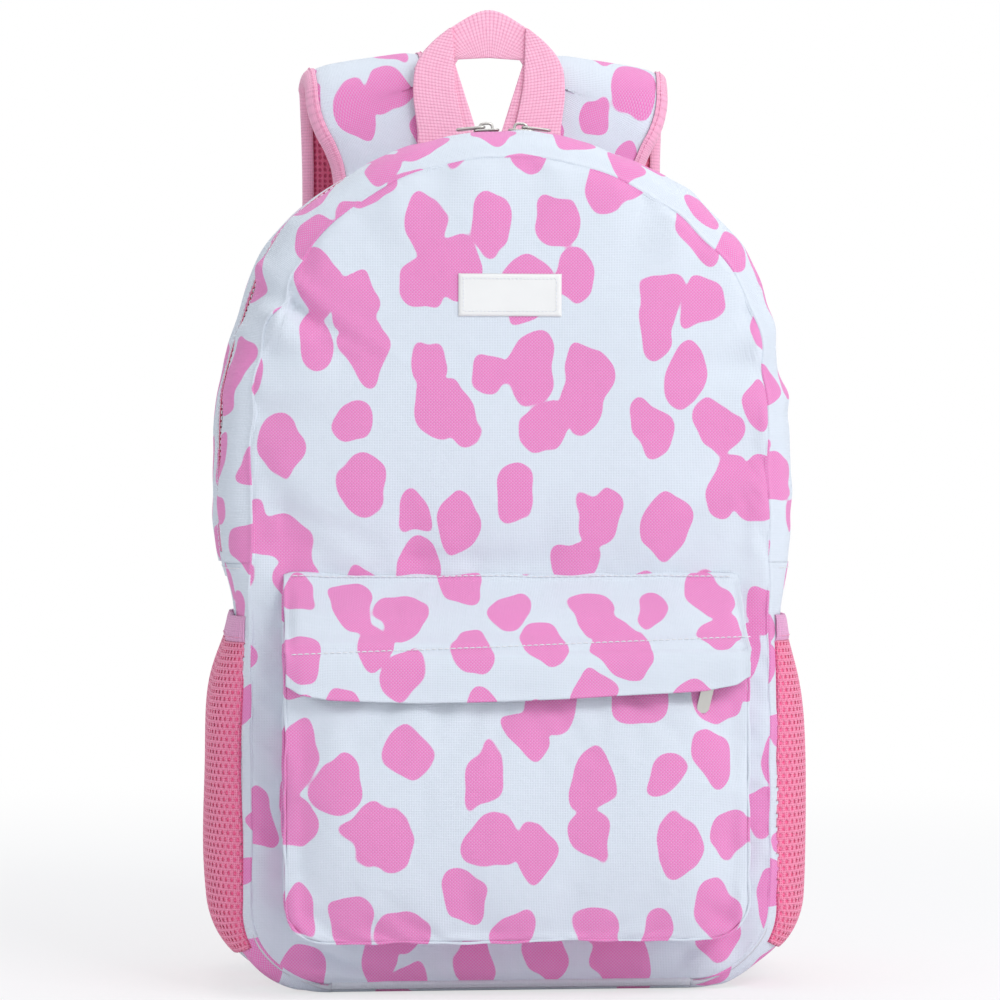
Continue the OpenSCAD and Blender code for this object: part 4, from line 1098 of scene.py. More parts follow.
n, m = 44, 22
uu, vv = np.linspace(0, 1, n), np.linspace(0, 1, m)
pts, nr = np.zeros((n, m, 3)), np.zeros((n, m, 3))
for i, a in enumerate(uu):
    for j, b in enumerate(vv):
        q, w = place(FRONT_TREE, *patch(a, b))
        pts[i, j], nr[i, j] = np.array(q) * 1000, w
nr = unit(nr.mean((0, 1)))
A = np.c_[pts[..., 0].ravel(), pts[..., 2].ravel(), np.ones(n * m)]
plane = (A @ np.linalg.lstsq(A, pts[..., 1].ravel(), rcond=None)[0]).reshape(n, m)
pts[..., 1] = 0.5 * pts[..., 1] + 0.5 * plane - 0.4
dx = np.minimum(uu, 1 - uu)[:, None] * LABEL_W
dz = np.minimum(vv, 1 - vv)[None] * LABEL_H
e = np.minimum(dx, dz)
height = (1.1 * step(e, -0.1, 0.9) - 0.25 * step(e, 1.3, 1.8)
          + 0.02 * wavy(91, uu[:, None] * 50 + 0 * vv, vv[None] * 20 + 0 * uu[:, None], f=0.3))
pts[..., 1] -= height
lab = grid("label_bare_patch", pts, uv_of(uu[:, None] * 51 + 0 * vv, vv[None] * 21 + 0 * uu[:, None]), RUBBER)
finer(lab)
shell(lab, 1.2)
piece(lab, "front_cover", ["label_patch"])
LAB_TREE = tree_of(lab)
q = [patch(a, b) for a, b in ((0.05, 0.12), (0.95, 0.12), (0.95, 0.88), (0.05, 0.88), (0.05, 0.12))]
p, nrm = on_tree(LAB_TREE, q, 1.5)
stitches("label_stitch", p, nrm, "front_cover", THREAD, pitch=1.9, length=1.5, r=0.2)


# ---------------------------------------------------------------- shoulder straps
BODY_H, RISE, S_X, SPREAD, DROP = 428.0, 46.0, 46.0, 38.0, 290.0
PADT, MESHT, CURL, TILT = 8.5, 3.0, 19.0, math.radians(9)
ST = PADT + MESHT
S_MID = HD + 3.0 + 1.0 + ST / 2
CX = S_X + 0.42 * SPREAD
S_TOP = BODY_H + RISE
S_BACK = S_MID + 2 * CURL + 2
S_END = np.array([S_X + SPREAD, S_BACK - 13, BODY_H - DROP])
ROUTE = [[S_X, S_MID, BODY_H - 0.84 * RISE], [S_X + 1, S_MID, BODY_H - 0.44 * RISE],
         [S_X + 4, S_MID + 0.5, BODY_H],
         [CX - 6, S_MID + 1, BODY_H + 0.34 * RISE]]
for a in np.arange(0, 181, 22.5):
    ROUTE.append([CX + 4 * a / 180, S_MID + 2 + CURL * (1 - math.cos(math.radians(a))),
                  S_TOP - CURL + CURL * math.sin(math.radians(a))])
for t in (0.04, 0.2, 0.4, 0.6, 0.78, 0.9, 1):
    x0 = CX + 4
    ROUTE.append([x0 + (S_END[0] - x0) * t ** 1.4, S_BACK + (S_END[1] - S_BACK) * t,
                  BODY_H + (S_END[2] - BODY_H) * t])
ROUTE = np.array(ROUTE)
N_R = len(ROUTE)


def spline(pts, n):
    """A smooth curve through the points (Catmull-Rom by length), n samples, with the point index of each."""
    pts = np.asarray(pts, float)
    ext = np.vstack([2 * pts[0] - pts[1], pts, 2 * pts[-1] - pts[-2]])
    s = np.concatenate([[0], np.cumsum(np.linalg.norm(np.diff(pts, axis=0), axis=1))])
    q = np.linspace(0, s[-1], n)
    i = np.clip(np.searchsorted(s, q, side="right") - 1, 0, len(pts) - 2)
    t = ((q - s[i]) / (s[i + 1] - s[i]))[:, None]
    a, b, c, d = (ext[i + k] for k in range(4))
    return 0.5 * (2 * b + (c - a) * t + (2 * a - 5 * b + 4 * c - d) * t * t
                  + (3 * b - a - 3 * c + d) * t ** 3), i + t[:, 0], q


mid, idx, slen = spline(ROUTE, 150)
tan = along(mid)
lean = np.array([math.cos(TILT), 0.0, -math.sin(TILT)])
acr = unit(lean - (tan @ lean)[:, None] * tan)
outw = np.cross(acr, tan)
half_w = (70 + (50 - 70) * np.clip((idx - 11) / (N_R - 1 - 11), 0, 1) ** 0.8) / 2


def strap_grid(side, us, off):
    """A sheet along the strap: us across from -1 to 1, off(i, u) out from the middle."""
    u = np.asarray(us, float)[None]
    o = off(slen[:, None], u)
    p = mid[:, None] + acr[:, None] * (u * half_w[:, None])[..., None] + outw[:, None] * o[..., None]
    p = p * [side, 1, 1]
    return p


for sd, nm in ((-1, "left"), (1, "right")):
    # printed canvas over foam: crowned, drawn in along its seams
    us = np.concatenate([[-0.875, -0.86, -0.82], np.linspace(-0.72, 0.72, 13), [0.82, 0.86, 0.875]])

    def top(s, u):
        e = np.clip((0.875 - np.abs(u)) / 0.3, 0, 1)
        w = 0.45 * wavy(101 + sd, s + 0 * u, u * 40 + 0 * s, f=0.05)
        return ST / 2 - 2.6 + 3.4 * np.sqrt(e) + w * e
    p = strap_grid(sd, us, top)
    uvs = uv_of(us[None] * 35 + 0 * slen[:, None] + (300 if sd > 0 else 0), slen[:, None] + 0 * us[None] + 17)
    ob = grid("strap_canvas_" + nm, p, uvs, [COW, LINING], core=tuple((mid.mean(0) - [0, 8, 40])
                                                                      * [sd, 1, 1]))
    # make sure that the print is on the outside
    nr = np.array([f.normal[:] for f in ob.data.polygons]).reshape(len(mid) - 1, -1, 3)
    if (nr[:, 8] * (outw[:-1] * [sd, 1, 1])).sum() < 0:
        ob.data.flip_normals()
    finer(ob)
    shell(ob, 1.0)
    piece(ob, "bag", ["strap_pad_" + nm])

    us2 = np.concatenate([[-0.875, -0.85], np.linspace(-0.78, 0.78, 13), [0.85, 0.875]])

    def under(s, u):
        e = np.clip((0.875 - np.abs(u)) / 0.22, 0, 1)
        groove = 0.5 * np.exp(-((np.abs(u) - 0.5) * 35 / 1.2) ** 2)
        curl_in = np.exp(-((s - 105) / 22) ** 2)
        crease = 0.8 * np.abs(np.sin(s * 0.19 + 0.9 * np.sin(u * 2.1))) ** 3 * curl_in
        return -ST / 2 + 2.6 - 2.4 * np.sqrt(e) + groove + crease * e
    p = strap_grid(sd, us2, under)
    ob = grid("strap_spacer_" + nm, p, uv_of(us2[None] * 35 + 0 * slen[:, None],
                                             slen[:, None] + 0 * us2[None]), MESH)
    nr = np.array([f.normal[:] for f in ob.data.polygons]).reshape(len(mid) - 1, -1, 3)
    if (nr[:, 8] * (outw[:-1] * [sd, 1, 1])).sum() > 0:
        ob.data.flip_normals()
    finer(ob)
    shell(ob, 0.8)
    piece(ob, "bag", ["strap_mesh_" + nm])

    # grosgrain wrapped round both edges and the lower end, with its row of stitches
    loops = []
    for e in (-1, 1):
        th = np.linspace(0, 1, 15)
        sec = np.stack([0.82 + 0 * th, 0 * th], 1)
        prof_b = np.array([(0.80, ST / 2 - 0.1), (0.84, ST / 2 + 0.05), (0.90, ST / 2 - 0.5),
                           (0.955, ST / 2 - 1.7), (0.99, ST / 2 - 3.7),
                           (1.0, 0.0), (0.99, -ST / 2 + 3.4), (0.955, -ST / 2 + 1.7), (0.90, -ST / 2 + 0.5),
                           (0.84, -ST / 2 - 0.1), (0.80, -ST / 2 + 0.1)])
        u = e * prof_b[:, 0][None]
        o = prof_b[:, 1][None] + 0.22 * wavy(111 + e + sd, slen[:, None] + 0 * u, f=0.25)
        p = mid[:, None] + acr[:, None] * (u * half_w[:, None])[..., None] + outw[:, None] * o[..., None]
        vlen = np.concatenate([[0], np.cumsum(np.hypot(np.diff(prof_b[:, 0]) * 35, np.diff(prof_b[:, 1])))])
        ob = grid("strap_edge_%s_%s" % (nm, "in" if e < 0 else "out"), p * [sd, 1, 1],
                  uv_of(slen[:, None] + 0 * u, vlen[None] + 0 * u), GROSGRAIN)
        c = (mid + acr * (0.8 * e * half_w)[:, None]) * [sd, 1, 1]
        pc = coords(ob).reshape(len(mid), -1, 3) * 1000
        nr = np.array([f.normal[:] for f in ob.data.polygons]).reshape(len(mid) - 1, -1, 3)
        if (nr[:, 5] * (pc[:-1, 5] - c[:-1])).sum() < 0:
            ob.data.flip_normals()
        finer(ob)
        shell(ob, 0.7)
        loops.append(ob)
        line = (mid + acr * (e * 0.865 * half_w)[:, None] + outw * (ST / 2 - 0.1)) * [sd, 1, 1]
        stitches("strap_stitch_%s_%s" % (nm, "in" if e < 0 else "out"), line, outw * [sd, 1, 1], "bag",
                 THREAD_P, pitch=2.8, length=2.2, r=0.24)
    piece(loops[0], "bag", ["strap_binding_" + nm])
    piece(loops[1], "bag")
    # the end binding
    us3 = np.linspace(-1, 1, 17)[None]
    th = np.linspace(0, PI, 9)[:, None]
    e0, t0, a0, o0 = mid[-1], tan[-1], acr[-1], outw[-1]
    reach = 2.2 * np.sin(th) * (1 - 0.35 * us3 ** 6)
    hgt = (ST / 2 + 0.2) * np.cos(th) * (1 - 0.30 * np.abs(us3) ** 4)
    p = e0 + a0 * (us3 * half_w[-1] * 0.97)[..., None] + t0 * (reach)[..., None] + o0 * hgt[..., None]
    p = np.concatenate([p[:1] - t0 * 7, p, p[-1:] - t0 * 7])
    ob = grid("strap_end_" + nm, p * [sd, 1, 1], uv_of(us3 * 25 + 0 * p[..., 0],
                                                       np.arange(11)[:, None] * 2.2 + 0 * p[..., 0]),
              GROSGRAIN,
              core=tuple(e0 * [sd, 1, 1] - t0 * [sd, 1, 1] * 10))
    finer(ob)
    shell(ob, 0.7)
    piece(ob, "bag")


# ---------------------------------------------------------------- webbing, buckles, corner tabs
LX, LY, LZ, LA = S_END[0] + 3, S_END[1] - 1, S_END[2] - 22, math.radians(-14)
WEB_W, WEB_T = 25.0, 1.5


def at_lock(p, sd):
    """From the buckle's own axes (x across, y back, z up) to the bag's."""
    p = np.asarray(p, float)
    c, s = math.cos(LA), math.sin(LA)
    x, y, z = p[..., 0], p[..., 1], p[..., 2]
    return np.stack([sd * (LX + c * x + s * z), LY + y, LZ - s * x + c * z], -1)


REACH = LY - HD - 3 - 2.5 - 0.3 - WEB_T / 2 - 4.1
RUN = np.array([[-4.1 - REACH, -100], [-4 - REACH / 2, -70], [-3.6 - REACH / 5, -45], [-3.4, -26],
                [-3.4, -14], [-2.7, -11], [-1.2, -9.2],
                [1.2, -9.2], [2.7, -11], [3.4, -14], [3.6, -26], [4.4, -38], [5, -60], [5, -100]])


def ribbon(name, yz, sd, mat, nodes=(), w=WEB_W, t=WEB_T, n=90, x0=0.0):
    """A flat webbing along a y-z line in the buckle's axes."""
    path = spline(np.c_[np.zeros(len(yz)), yz], n)[0]
    tg = along(path)
    nn = np.stack([0 * tg[:, 0], -tg[:, 2], tg[:, 1]], 1)
    u = np.array([-1, -0.985, -0.9, -0.5, 0, 0.5, 0.9, 0.985, 1.0])
    e = t / 2 * np.array([0.45, 0.9, 1, 1, 1, 1, 1, 0.9, 0.45])
    sec = np.concatenate([np.stack([u * w / 2, e], 1), np.stack([u[::-1] * w / 2, -e[::-1]], 1)])
    ax = np.tile([1.0, 0, 0], (n, 1))
    pts = path[:, None] + ax[:, None] * (sec[None, :, :1] + x0) + nn[:, None] * sec[None, :, 1:]
    L = np.concatenate([[0], np.cumsum(np.linalg.norm(np.diff(path, axis=0), axis=1))])
    P = at_lock(pts, sd)
    uv = uv_of(L[:, None] + 0 * sec[None, :, 0], sec[None, :, 0] + 0 * L[:, None])
    k = len(sec)
    faces = quads(n, k, wrap_m=True) + [tuple(range(k))[::-1], tuple((n - 1) * k + i for i in range(k))]
    ob = mesh(name, P, faces, mat, uv)
    fix_normals(ob)
    return piece(ob, "bag", nodes)


def fix_normals(ob):
    import bmesh
    bm = bmesh.new()
    bm.from_mesh(ob.data)
    bmesh.ops.recalc_face_normals(bm, faces=bm.faces)
    bm.to_mesh(ob.data)
    bm.free()
    return ob


def rounded_bar(name, poly, y0, y1, r):
    """A plate in the buckle's x-z plane from an outline, with rounded edges."""
    import bmesh
    bm = bmesh.new()
    vs = [bm.verts.new((x, y0, z)) for x, z in poly]
    f = bm.faces.new(vs)
    ext = bmesh.ops.extrude_face_region(bm, geom=[f])
    bmesh.ops.translate(bm, verts=[v for v in ext["geom"] if isinstance(v, bmesh.types.BMVert)],
                        vec=(0, y1 - y0, 0))
    bmesh.ops.recalc_face_normals(bm, faces=bm.faces)
    bmesh.ops.bevel(bm, geom=bm.edges[:], offset=r, segments=3, profile=0.6, affect="EDGES")
    me = bpy.data.meshes.new(name)
    bm.to_mesh(me)
    bm.free()
    return me


def buckle(name, sd):
    """Ladder lock: two side rails, top bar, grip bar with teeth and a lifted thumb lip."""
    parts = []
    for s in (-1, 1):
        x = s * (WEB_W / 2 + 3)
        parts.append(rounded_bar("rail", [(x - 2, -28), (x + 2, -28), (x + 2.2, -12), (x + 2, 3),
                                          (x - 2, 3)], -2.2, 2.2, 0.7))
    parts.append(rounded_bar("lip", [(-WEB_W / 2 - 3, -31.5), (-9, -33.5), (9, -33.5),
                                     (WEB_W / 2 + 3, -31.5), (WEB_W / 2 + 3, -27), (-WEB_W / 2 - 3, -27)],
                             -0.6, 2.2, 0.6))
    verts, faces = [], []
    for me in parts:
        b = len(verts)
        verts += [v.co[:] for v in me.vertices]
        faces += [tuple(b + i for i in f.vertices) for f in me.polygons]
        bpy.data.meshes.remove(me)
    for z, r, y in ((0, 2.0, 0.0), (-13, 2.2, 0.0), (-25, 2.0, 0.0)):
        b = len(verts)
        xs3 = np.linspace(-WEB_W / 2 - 2.5, WEB_W / 2 + 2.5, 24)
        for x in xs3:
            for a in np.arange(16) * PI / 8:
                grip = 0.12 * math.sin(x * 2.2) if z == -13 else 0
                verts.append((x, y + (r + grip) * math.sin(a), z + (r + grip) * math.cos(a)))
        faces += quads(24, 16, wrap_m=True, start=b)
    ob = mesh(name, at_lock(np.array(verts), sd), faces, LOCK)
    fix_normals(ob)
    return piece(ob, "bag", ["ladder_lock_" + ("left" if sd < 0 else "right")])


for sd, nm in ((-1, "left"), (1, "right")):
    buckle("buckle_" + nm, sd)
    a = np.linspace(-PI / 2 - 0.0, PI / 2, 13)
    R2 = 2.3 + WEB_T / 2
    half_loop = ([(R2, 26)] + [(R2, 8)] + [(R2 * math.cos(t), -R2 * math.sin(t))
                                           for t in np.linspace(0, PI, 11)] + [(-R2, 8), (-R2, 26)])
    ribbon("buckle_loop_web_" + nm, np.array(half_loop), sd, WEB, ["buckle_loop_" + nm], n=60)
    ribbon("adjuster_web_" + nm, RUN, sd, WEB, ["strap_webbing_" + nm], n=150)
    # folded and sewn tail end
    tail = np.array([[5 - 0.2, -91.5], [5, -95], [5, -100.6], [6.0, -101.6], [6.9, -100.6], [6.9, -91.5]])
    ribbon("adjuster_tail_" + nm, tail, sd, WEB, n=40, t=1.2)
    for zz in (-93.5, -98.0):
        q = at_lock(np.stack([np.linspace(-10.5, 10.5, 20), np.full(20, 7.6), np.full(20, zz)], 1), sd)
        stitches("tail_stitch_%s_%d" % (nm, -zz), q, np.array([0.0, 1, 0]), "bag", THREAD_P, pitch=2.2,
                 length=1.8, r=0.25)
    # corner tab: folded canvas that carries the webbing, sewn into the side seam
    tri = np.array([[HW - 2, 20], [HW - 2, 48], [HW - 26, 34], [HW - 30, 14]])
    g1, g2 = np.linspace(0, 1, 14)[:, None], np.linspace(0, 1, 14)[None]
    pl = (((1 - g1) * (1 - g2))[..., None] * tri[0] + ((1 - g1) * g2)[..., None] * tri[1]
          + (g1 * g2)[..., None] * tri[2] + (g1 * (1 - g2))[..., None] * tri[3])
    ed = np.minimum(np.minimum(g1, 1 - g1), np.minimum(g2, 1 - g2)) * 26
    pts = np.stack(np.broadcast_arrays(sd * pl[..., 0], HD + 3 + 0.7 + 1.8 * np.sqrt(np.clip(ed, 0, 3) / 3),
                                       pl[..., 1]), -1)
    ob = grid("corner_tab_cloth_" + nm, pts, pts[..., [0, 2]] * 0.001, COW, core=(sd * 110, 0, 30))
    finer(ob)
    shell(ob, 0.9)
    piece(ob, "bag", ["corner_tab_" + nm])
    box_pts = [(HW - 6, 24), (HW - 6, 42), (HW - 23, 31.5), (HW - 26, 18), (HW - 6, 24)]
    q = resample(np.array([(sd * a, HD + 6.35, b) for a, b in box_pts]), 1.5)
    stitches("corner_stitch_" + nm, q, np.array([0.0, 1, 0]), "bag", THREAD, pitch=2.6, length=2.1, r=0.26)


# ---------------------------------------------------------------- back pads and yoke
def pad(name, x0, x1, z0, z1, seed):
    """Spacer mesh over foam: rounded, sewn down at its edge and along quilting lines."""
    n, m = int((x1 - x0) / 3.4), int((z1 - z0) / 3.4)
    a, b = np.linspace(-1, 1, n)[:, None], np.linspace(-1, 1, m)[None]
    cx, cz, hx, hz, r = (x0 + x1) / 2, (z0 + z1) / 2, (x1 - x0) / 2, (z1 - z0) / 2, 22.0
    # square grid pressed into a rounded rectangle
    X, Z = a * hx + 0 * b, b * hz + 0 * a
    ox, oz = np.clip(np.abs(X) - (hx - r), 0, None), np.clip(np.abs(Z) - (hz - r), 0, None)
    big, rad = np.maximum(ox, oz), np.hypot(ox, oz)
    k = np.where(rad > 1e-6, big / np.maximum(rad, 1e-6), 1)
    X = np.sign(X) * (np.minimum(np.abs(X), hx - r) + ox * k)
    Z = np.sign(Z) * (np.minimum(np.abs(Z), hz - r) + oz * k)
    ex, ez = hx - np.abs(X), hz - np.abs(Z)
    ed = np.where(big > 0, r - big, np.minimum(ex, ez))
    ed = np.minimum(ed, np.minimum(ex, ez))
    up = 6.4 * np.clip(1 - (1 - np.clip(ed, 0, 15) / 15) ** 2.6, 0, 1)
    if hz > hx:
        for q in np.linspace(-hz, hz, 8)[1:-1]:
            up -= 3.2 * np.exp(-((Z - q - 0.0 * np.abs(X)) / 2.3) ** 2) * step(ed, 3, 14)
    else:
        for q in np.linspace(-hx, hx, 7)[1:-1]:
            up -= 3.2 * np.exp(-((X - q) / 2.3) ** 2) * step(ed, 3, 14)
    up += 0.35 * wavy(seed, X, Z, f=0.05) * step(ed, 2, 12)
    pts = np.stack([cx + X, HD + 2.6 + up, cz + Z], -1)
    ob = grid(name, pts, pts[..., [0, 2]] * 0.001, MESH)
    finer(ob)
    shell(ob, 1.0)
    return ob


PS = HW - 33.0
pl = [pad("back_pad_left", -PS, -14, 118, 372, 121), pad("back_pad_right", 14, PS, 118, 372, 122),
      pad("lumbar_pad", -PS, PS, 28, 106, 123)]
for i, ob in enumerate(pl):
    piece(ob, "bag", ["back_pads"] if i == 0 else ())
for i, (x0, x1, z0, z1) in enumerate(((-PS, -14, 118, 372), (14, PS, 118, 372), (-PS, PS, 28, 106))):
    # grosgrain round each pad
    t = np.linspace(0, 2 * PI, 161)[:-1]
    cx, cz, hx, hz, r = (x0 + x1) / 2, (z0 + z1) / 2, (x1 - x0) / 2 - 22, (z1 - z0) / 2 - 22, 22.0
    px = cx + np.where(np.cos(t) >= 0, hx, -hx) + r * np.cos(t)
    pz = cz + np.where(np.sin(t) >= 0, hz, -hz) + r * np.sin(t)
    line = resample(np.c_[np.append(px, px[0]), np.full(161, HD + 3.2), np.append(pz, pz[0])], 3.0)[:-1]
    tg = unit(np.roll(line, -1, 0) - np.roll(line, 1, 0))
    sec = np.array([(2.2 * math.cos(q), 1.1 * math.sin(q)) for q in np.arange(10) * PI / 5])
    up_ = np.tile([0.0, 1.0, 0.0], (len(line), 1))
    ob = sweep("pad_edge_%d" % i, line, np.cross(tg, up_), up_, sec, GROSGRAIN, closed=True)
    piece(ob, "bag")
    stitches("pad_stitch_%d" % i, np.vstack([line, line[:1]]) + [0, 1.1, 0], np.array([0.0, 1, 0]), "bag",
             THREAD_P, pitch=3.0, length=2.3, r=0.22)

yx, yz = np.linspace(-1, 1, 60)[:, None], np.linspace(-1, 1, 12)[None]
Y0 = HD + 3 + 1 + ST + 0.3
hx, hz, cz = S_X + 70 * 0.54, 0.18 * RISE, BODY_H - 0.70 * RISE
ed = np.minimum((1 - np.abs(yx)) * hx, (1 - np.abs(yz)) * hz)
pts = np.stack(np.broadcast_arrays(yx * hx, Y0 + 0.7 + 1.3 * np.sqrt(np.clip(ed, 0, 2.5) / 2.5)
                                   + 0.25 * wavy(131, yx * hx + 0 * yz, yz * hz + 0 * yx, f=0.08),
                                   cz + yz * hz), -1)
ob = grid("yoke_cloth", pts, pts[..., [0, 2]] * 0.001, COW)
finer(ob)
shell(ob, 1.0)
piece(ob, "bag", ["strap_yoke"])
xx = np.linspace(-hx + 3, hx - 3, 60)
for i, dz in enumerate((-6.0, 6.0)):
    stitches("yoke_stitch_%d" % i, np.c_[xx, np.full(60, Y0 + 2.1), np.full(60, cz + dz)],
             np.array([0.0, 1, 0]), "bag", THREAD, pitch=2.8, length=2.3, r=0.26)


# ---------------------------------------------------------------- grab handle: one folded webbing
HY, HZ, PLY = HD + 0.2, BODY_H + 3.5, 1.5
OUTER = np.array([(38, -1.0), (38.2, 8), (39, 14.4), (40.2, 24), (40.4, 31), (39.4, 40.3), (35.5, 48.2),
                  (29, 55.4), (21, 61.9), (12, 67.7), (6, 70.8), (0, 72)])


def flat_web(name, A, B, y0, t, body, nodes=(), bow=0.0, seed=0):
    """Flat webbing between two edge curves (n by 2, x and z), t thick round y0, edges rounded."""
    A, B = np.asarray(A, float), np.asarray(B, float)
    n = len(A)
    u = np.array([-1, -0.985, -0.93, -0.6, -0.2, 0.2, 0.6, 0.93, 0.985, 1.0])
    e = t / 2 * np.array([0.3, 0.8, 1, 1, 1, 1, 1, 1, 0.8, 0.3])
    uu, ee = np.concatenate([u, u[::-1]]), np.concatenate([e, -e[::-1]])
    k = (uu[None] + 1) / 2
    X = A[:, :1] * (1 - k) + B[:, :1] * k
    Zz = A[:, 1:] * (1 - k) + B[:, 1:] * k
    c = (A + B) / 2
    L = np.concatenate([[0], np.cumsum(np.linalg.norm(np.diff(c, axis=0), axis=1))])
    wv = bow * np.sin(PI * L / L[-1])[:, None] + 0.2 * wavy(seed, X, Zz, f=0.09)
    pts = np.stack([X, y0 - ee[None] + wv, Zz + HZ], -1)
    width = np.linalg.norm(B - A, axis=1)[:, None]
    uv = uv_of(L[:, None] + 0 * uu, (uu[None]) * width / 2)
    m = len(uu)
    faces = quads(n, m, wrap_m=True) + [tuple(range(m))[::-1], tuple((n - 1) * m + i for i in range(m))]
    ob = mesh(name, pts, faces, HWEB, uv)
    fix_normals(ob)
    return piece(ob, body, nodes)


def curve2(pts, n):
    return spline(np.c_[np.asarray(pts, float), np.zeros(len(pts))], n)[0][:, :2]


def line2(pts, n):
    pts = np.asarray(pts, float)
    s = np.concatenate([[0], np.cumsum(np.linalg.norm(np.diff(pts, axis=0), axis=1))])
    q = np.linspace(0, s[-1], n)
    return np.stack([np.interp(q, s, pts[:, 0]), np.interp(q, s, pts[:, 1])], 1)


# deep is the painted shade in the handle webbing's grooves
HWEB = ribbed("handle_webbing", lin(255, 196, 218), pitch=0.0017, depth=0.0004, cross=0.0018,
              deep=lin(232, 138, 176))
# the layer behind: up one leg, across the top and down the other
leg_o, leg_i = curve2(OUTER[:6], 40), line2([(4, -1), (18, 43)], 40)
arch_o = curve2(np.vstack([OUTER[5:], (OUTER[5:-1] * [-1, 1])[::-1]]), 80)
arch_i = line2([(18, 43), (16.4, 45.6), (0, 46.6), (-16.4, 45.6), (-18, 43)], 80)
A = np.vstack([leg_o, arch_o[1:], (leg_o[::-1] * [-1, 1])[1:]])
B = np.vstack([leg_i, arch_i[1:], (leg_i[::-1] * [-1, 1])[1:]])
flat_web("handle_web_back", A, B, HY + PLY * 1.5, PLY, "handle", ["grab_handle"], seed=141)
for sd, nm in ((-1, "left"), (1, "right")):
    # front ply: leans inwards and is folded over behind along its slanting top
    o = curve2(OUTER[:9], 60)
    i = curve2([(11, -1), (14.6, 14), (17.8, 30), (18.8, 44), (19.2, 56), (19.6, 62.6)], 60)
    flat_web("handle_web_" + nm, o * [sd, 1], i * [sd, 1], HY + PLY / 2 - 0.1, PLY, "handle", bow=-0.5,
             seed=142 + sd)
    fold = curve2(OUTER[5:9], 30)
    ctr = np.stack([sd * (fold[:, 0] - 0.5), np.full(30, HY + PLY - 0.1), fold[:, 1] - 0.5 + HZ], 1)
    tg = along(ctr)
    sec = np.array([(1.1 * math.cos(q), 1.45 * math.sin(q)) for q in np.arange(12) * PI / 6])
    yv = np.tile([0.0, 1.0, 0.0], (30, 1))
    ob = sweep("handle_fold_" + nm, ctr, np.cross(tg, yv), yv, sec, HWEB)
    piece(ob, "handle")
    cyl = np.stack([sd * np.linspace(11, 38, 14), np.full(14, HY + PLY), np.full(14, HZ)], 1)
    sec = np.array([(1.5 * math.cos(q), 1.5 * math.sin(q)) for q in np.arange(16) * PI / 8])
    ob = sweep("handle_roll_" + nm, cyl, np.tile([0, 1.0, 0], (14, 1)), np.tile([0, 0, 1.0], (14, 1)), sec,
               HWEB)
    piece(ob, "handle")
    # sewn end on the bag
    xs4 = np.linspace(11, 38, 8)
    low = CROWN_Z + np.sqrt(SEAM_R ** 2 - xs4 ** 2) - HZ
    ob = flat_web("handle_tab_" + nm, np.c_[[11, 11], [low[0] + 0.1, -1.9]] * [sd, 1],
                  np.c_[[38, 38], [low[-1] + 0.1, -1.9]] * [sd, 1],
                  HY + PLY, PLY * 2 - 0.2, "bag", ["handle_tabs"] if sd < 0 else (), seed=145)


# ---------------------------------------------------------------- side pockets
SZ0, SZ1, SPUFF, EL_W = 20.0, 186.0, 10.5, 13.0
SIDE_Y, SIDE_F = 0.94 * HD, 0.99 * HD
S_TOPK = 1 - EL_W / (SZ1 - SZ0)


def side_at(k, y, o, sd):
    """A point on the side pocket: k from its bottom seam (0) to its mouth (1), y depth, o outward."""
    k, y = np.broadcast_arrays(np.asarray(k, float), np.asarray(y, float))
    z = SZ0 + (SZ1 - SZ0) * k
    q = np.arcsin(np.clip((LIFT + CORNER - z) / (CORNER + BULGE * 0.75), 0, 1)) / (PI / 2)
    s = np.where(z >= LIFT + CORNER, L2 + SH_Z - z, L3 + q * (L4 - L3))
    full = np.sin(PI * (0.06 + 0.88 * np.clip(k, 0, 1) ** (0.8 if sd < 0 else 0.66))) ** 0.9
    out = ((SPUFF - (3.5 if sd < 0 else 2.0)) * np.clip(1 - np.abs(y
                                                                   / np.where(y < 0, SIDE_F,
                                                                              SIDE_Y)) ** 2.6, 0, 1) ** 0.6
           * full)
    return skin(sd * s, y, out + 0.1 + o)


ys_t = np.linspace(-SIDE_F, SIDE_Y, 400)
ref = side_at(0.55, ys_t, 0, 1)
arc = np.concatenate([[0], np.cumsum(np.linalg.norm(np.diff(ref, axis=0), axis=1))])
ARC = arc[-1]


def y_of(a):
    """Depth for a length measured round the pocket from its front edge."""
    return np.interp(a, arc, ys_t)


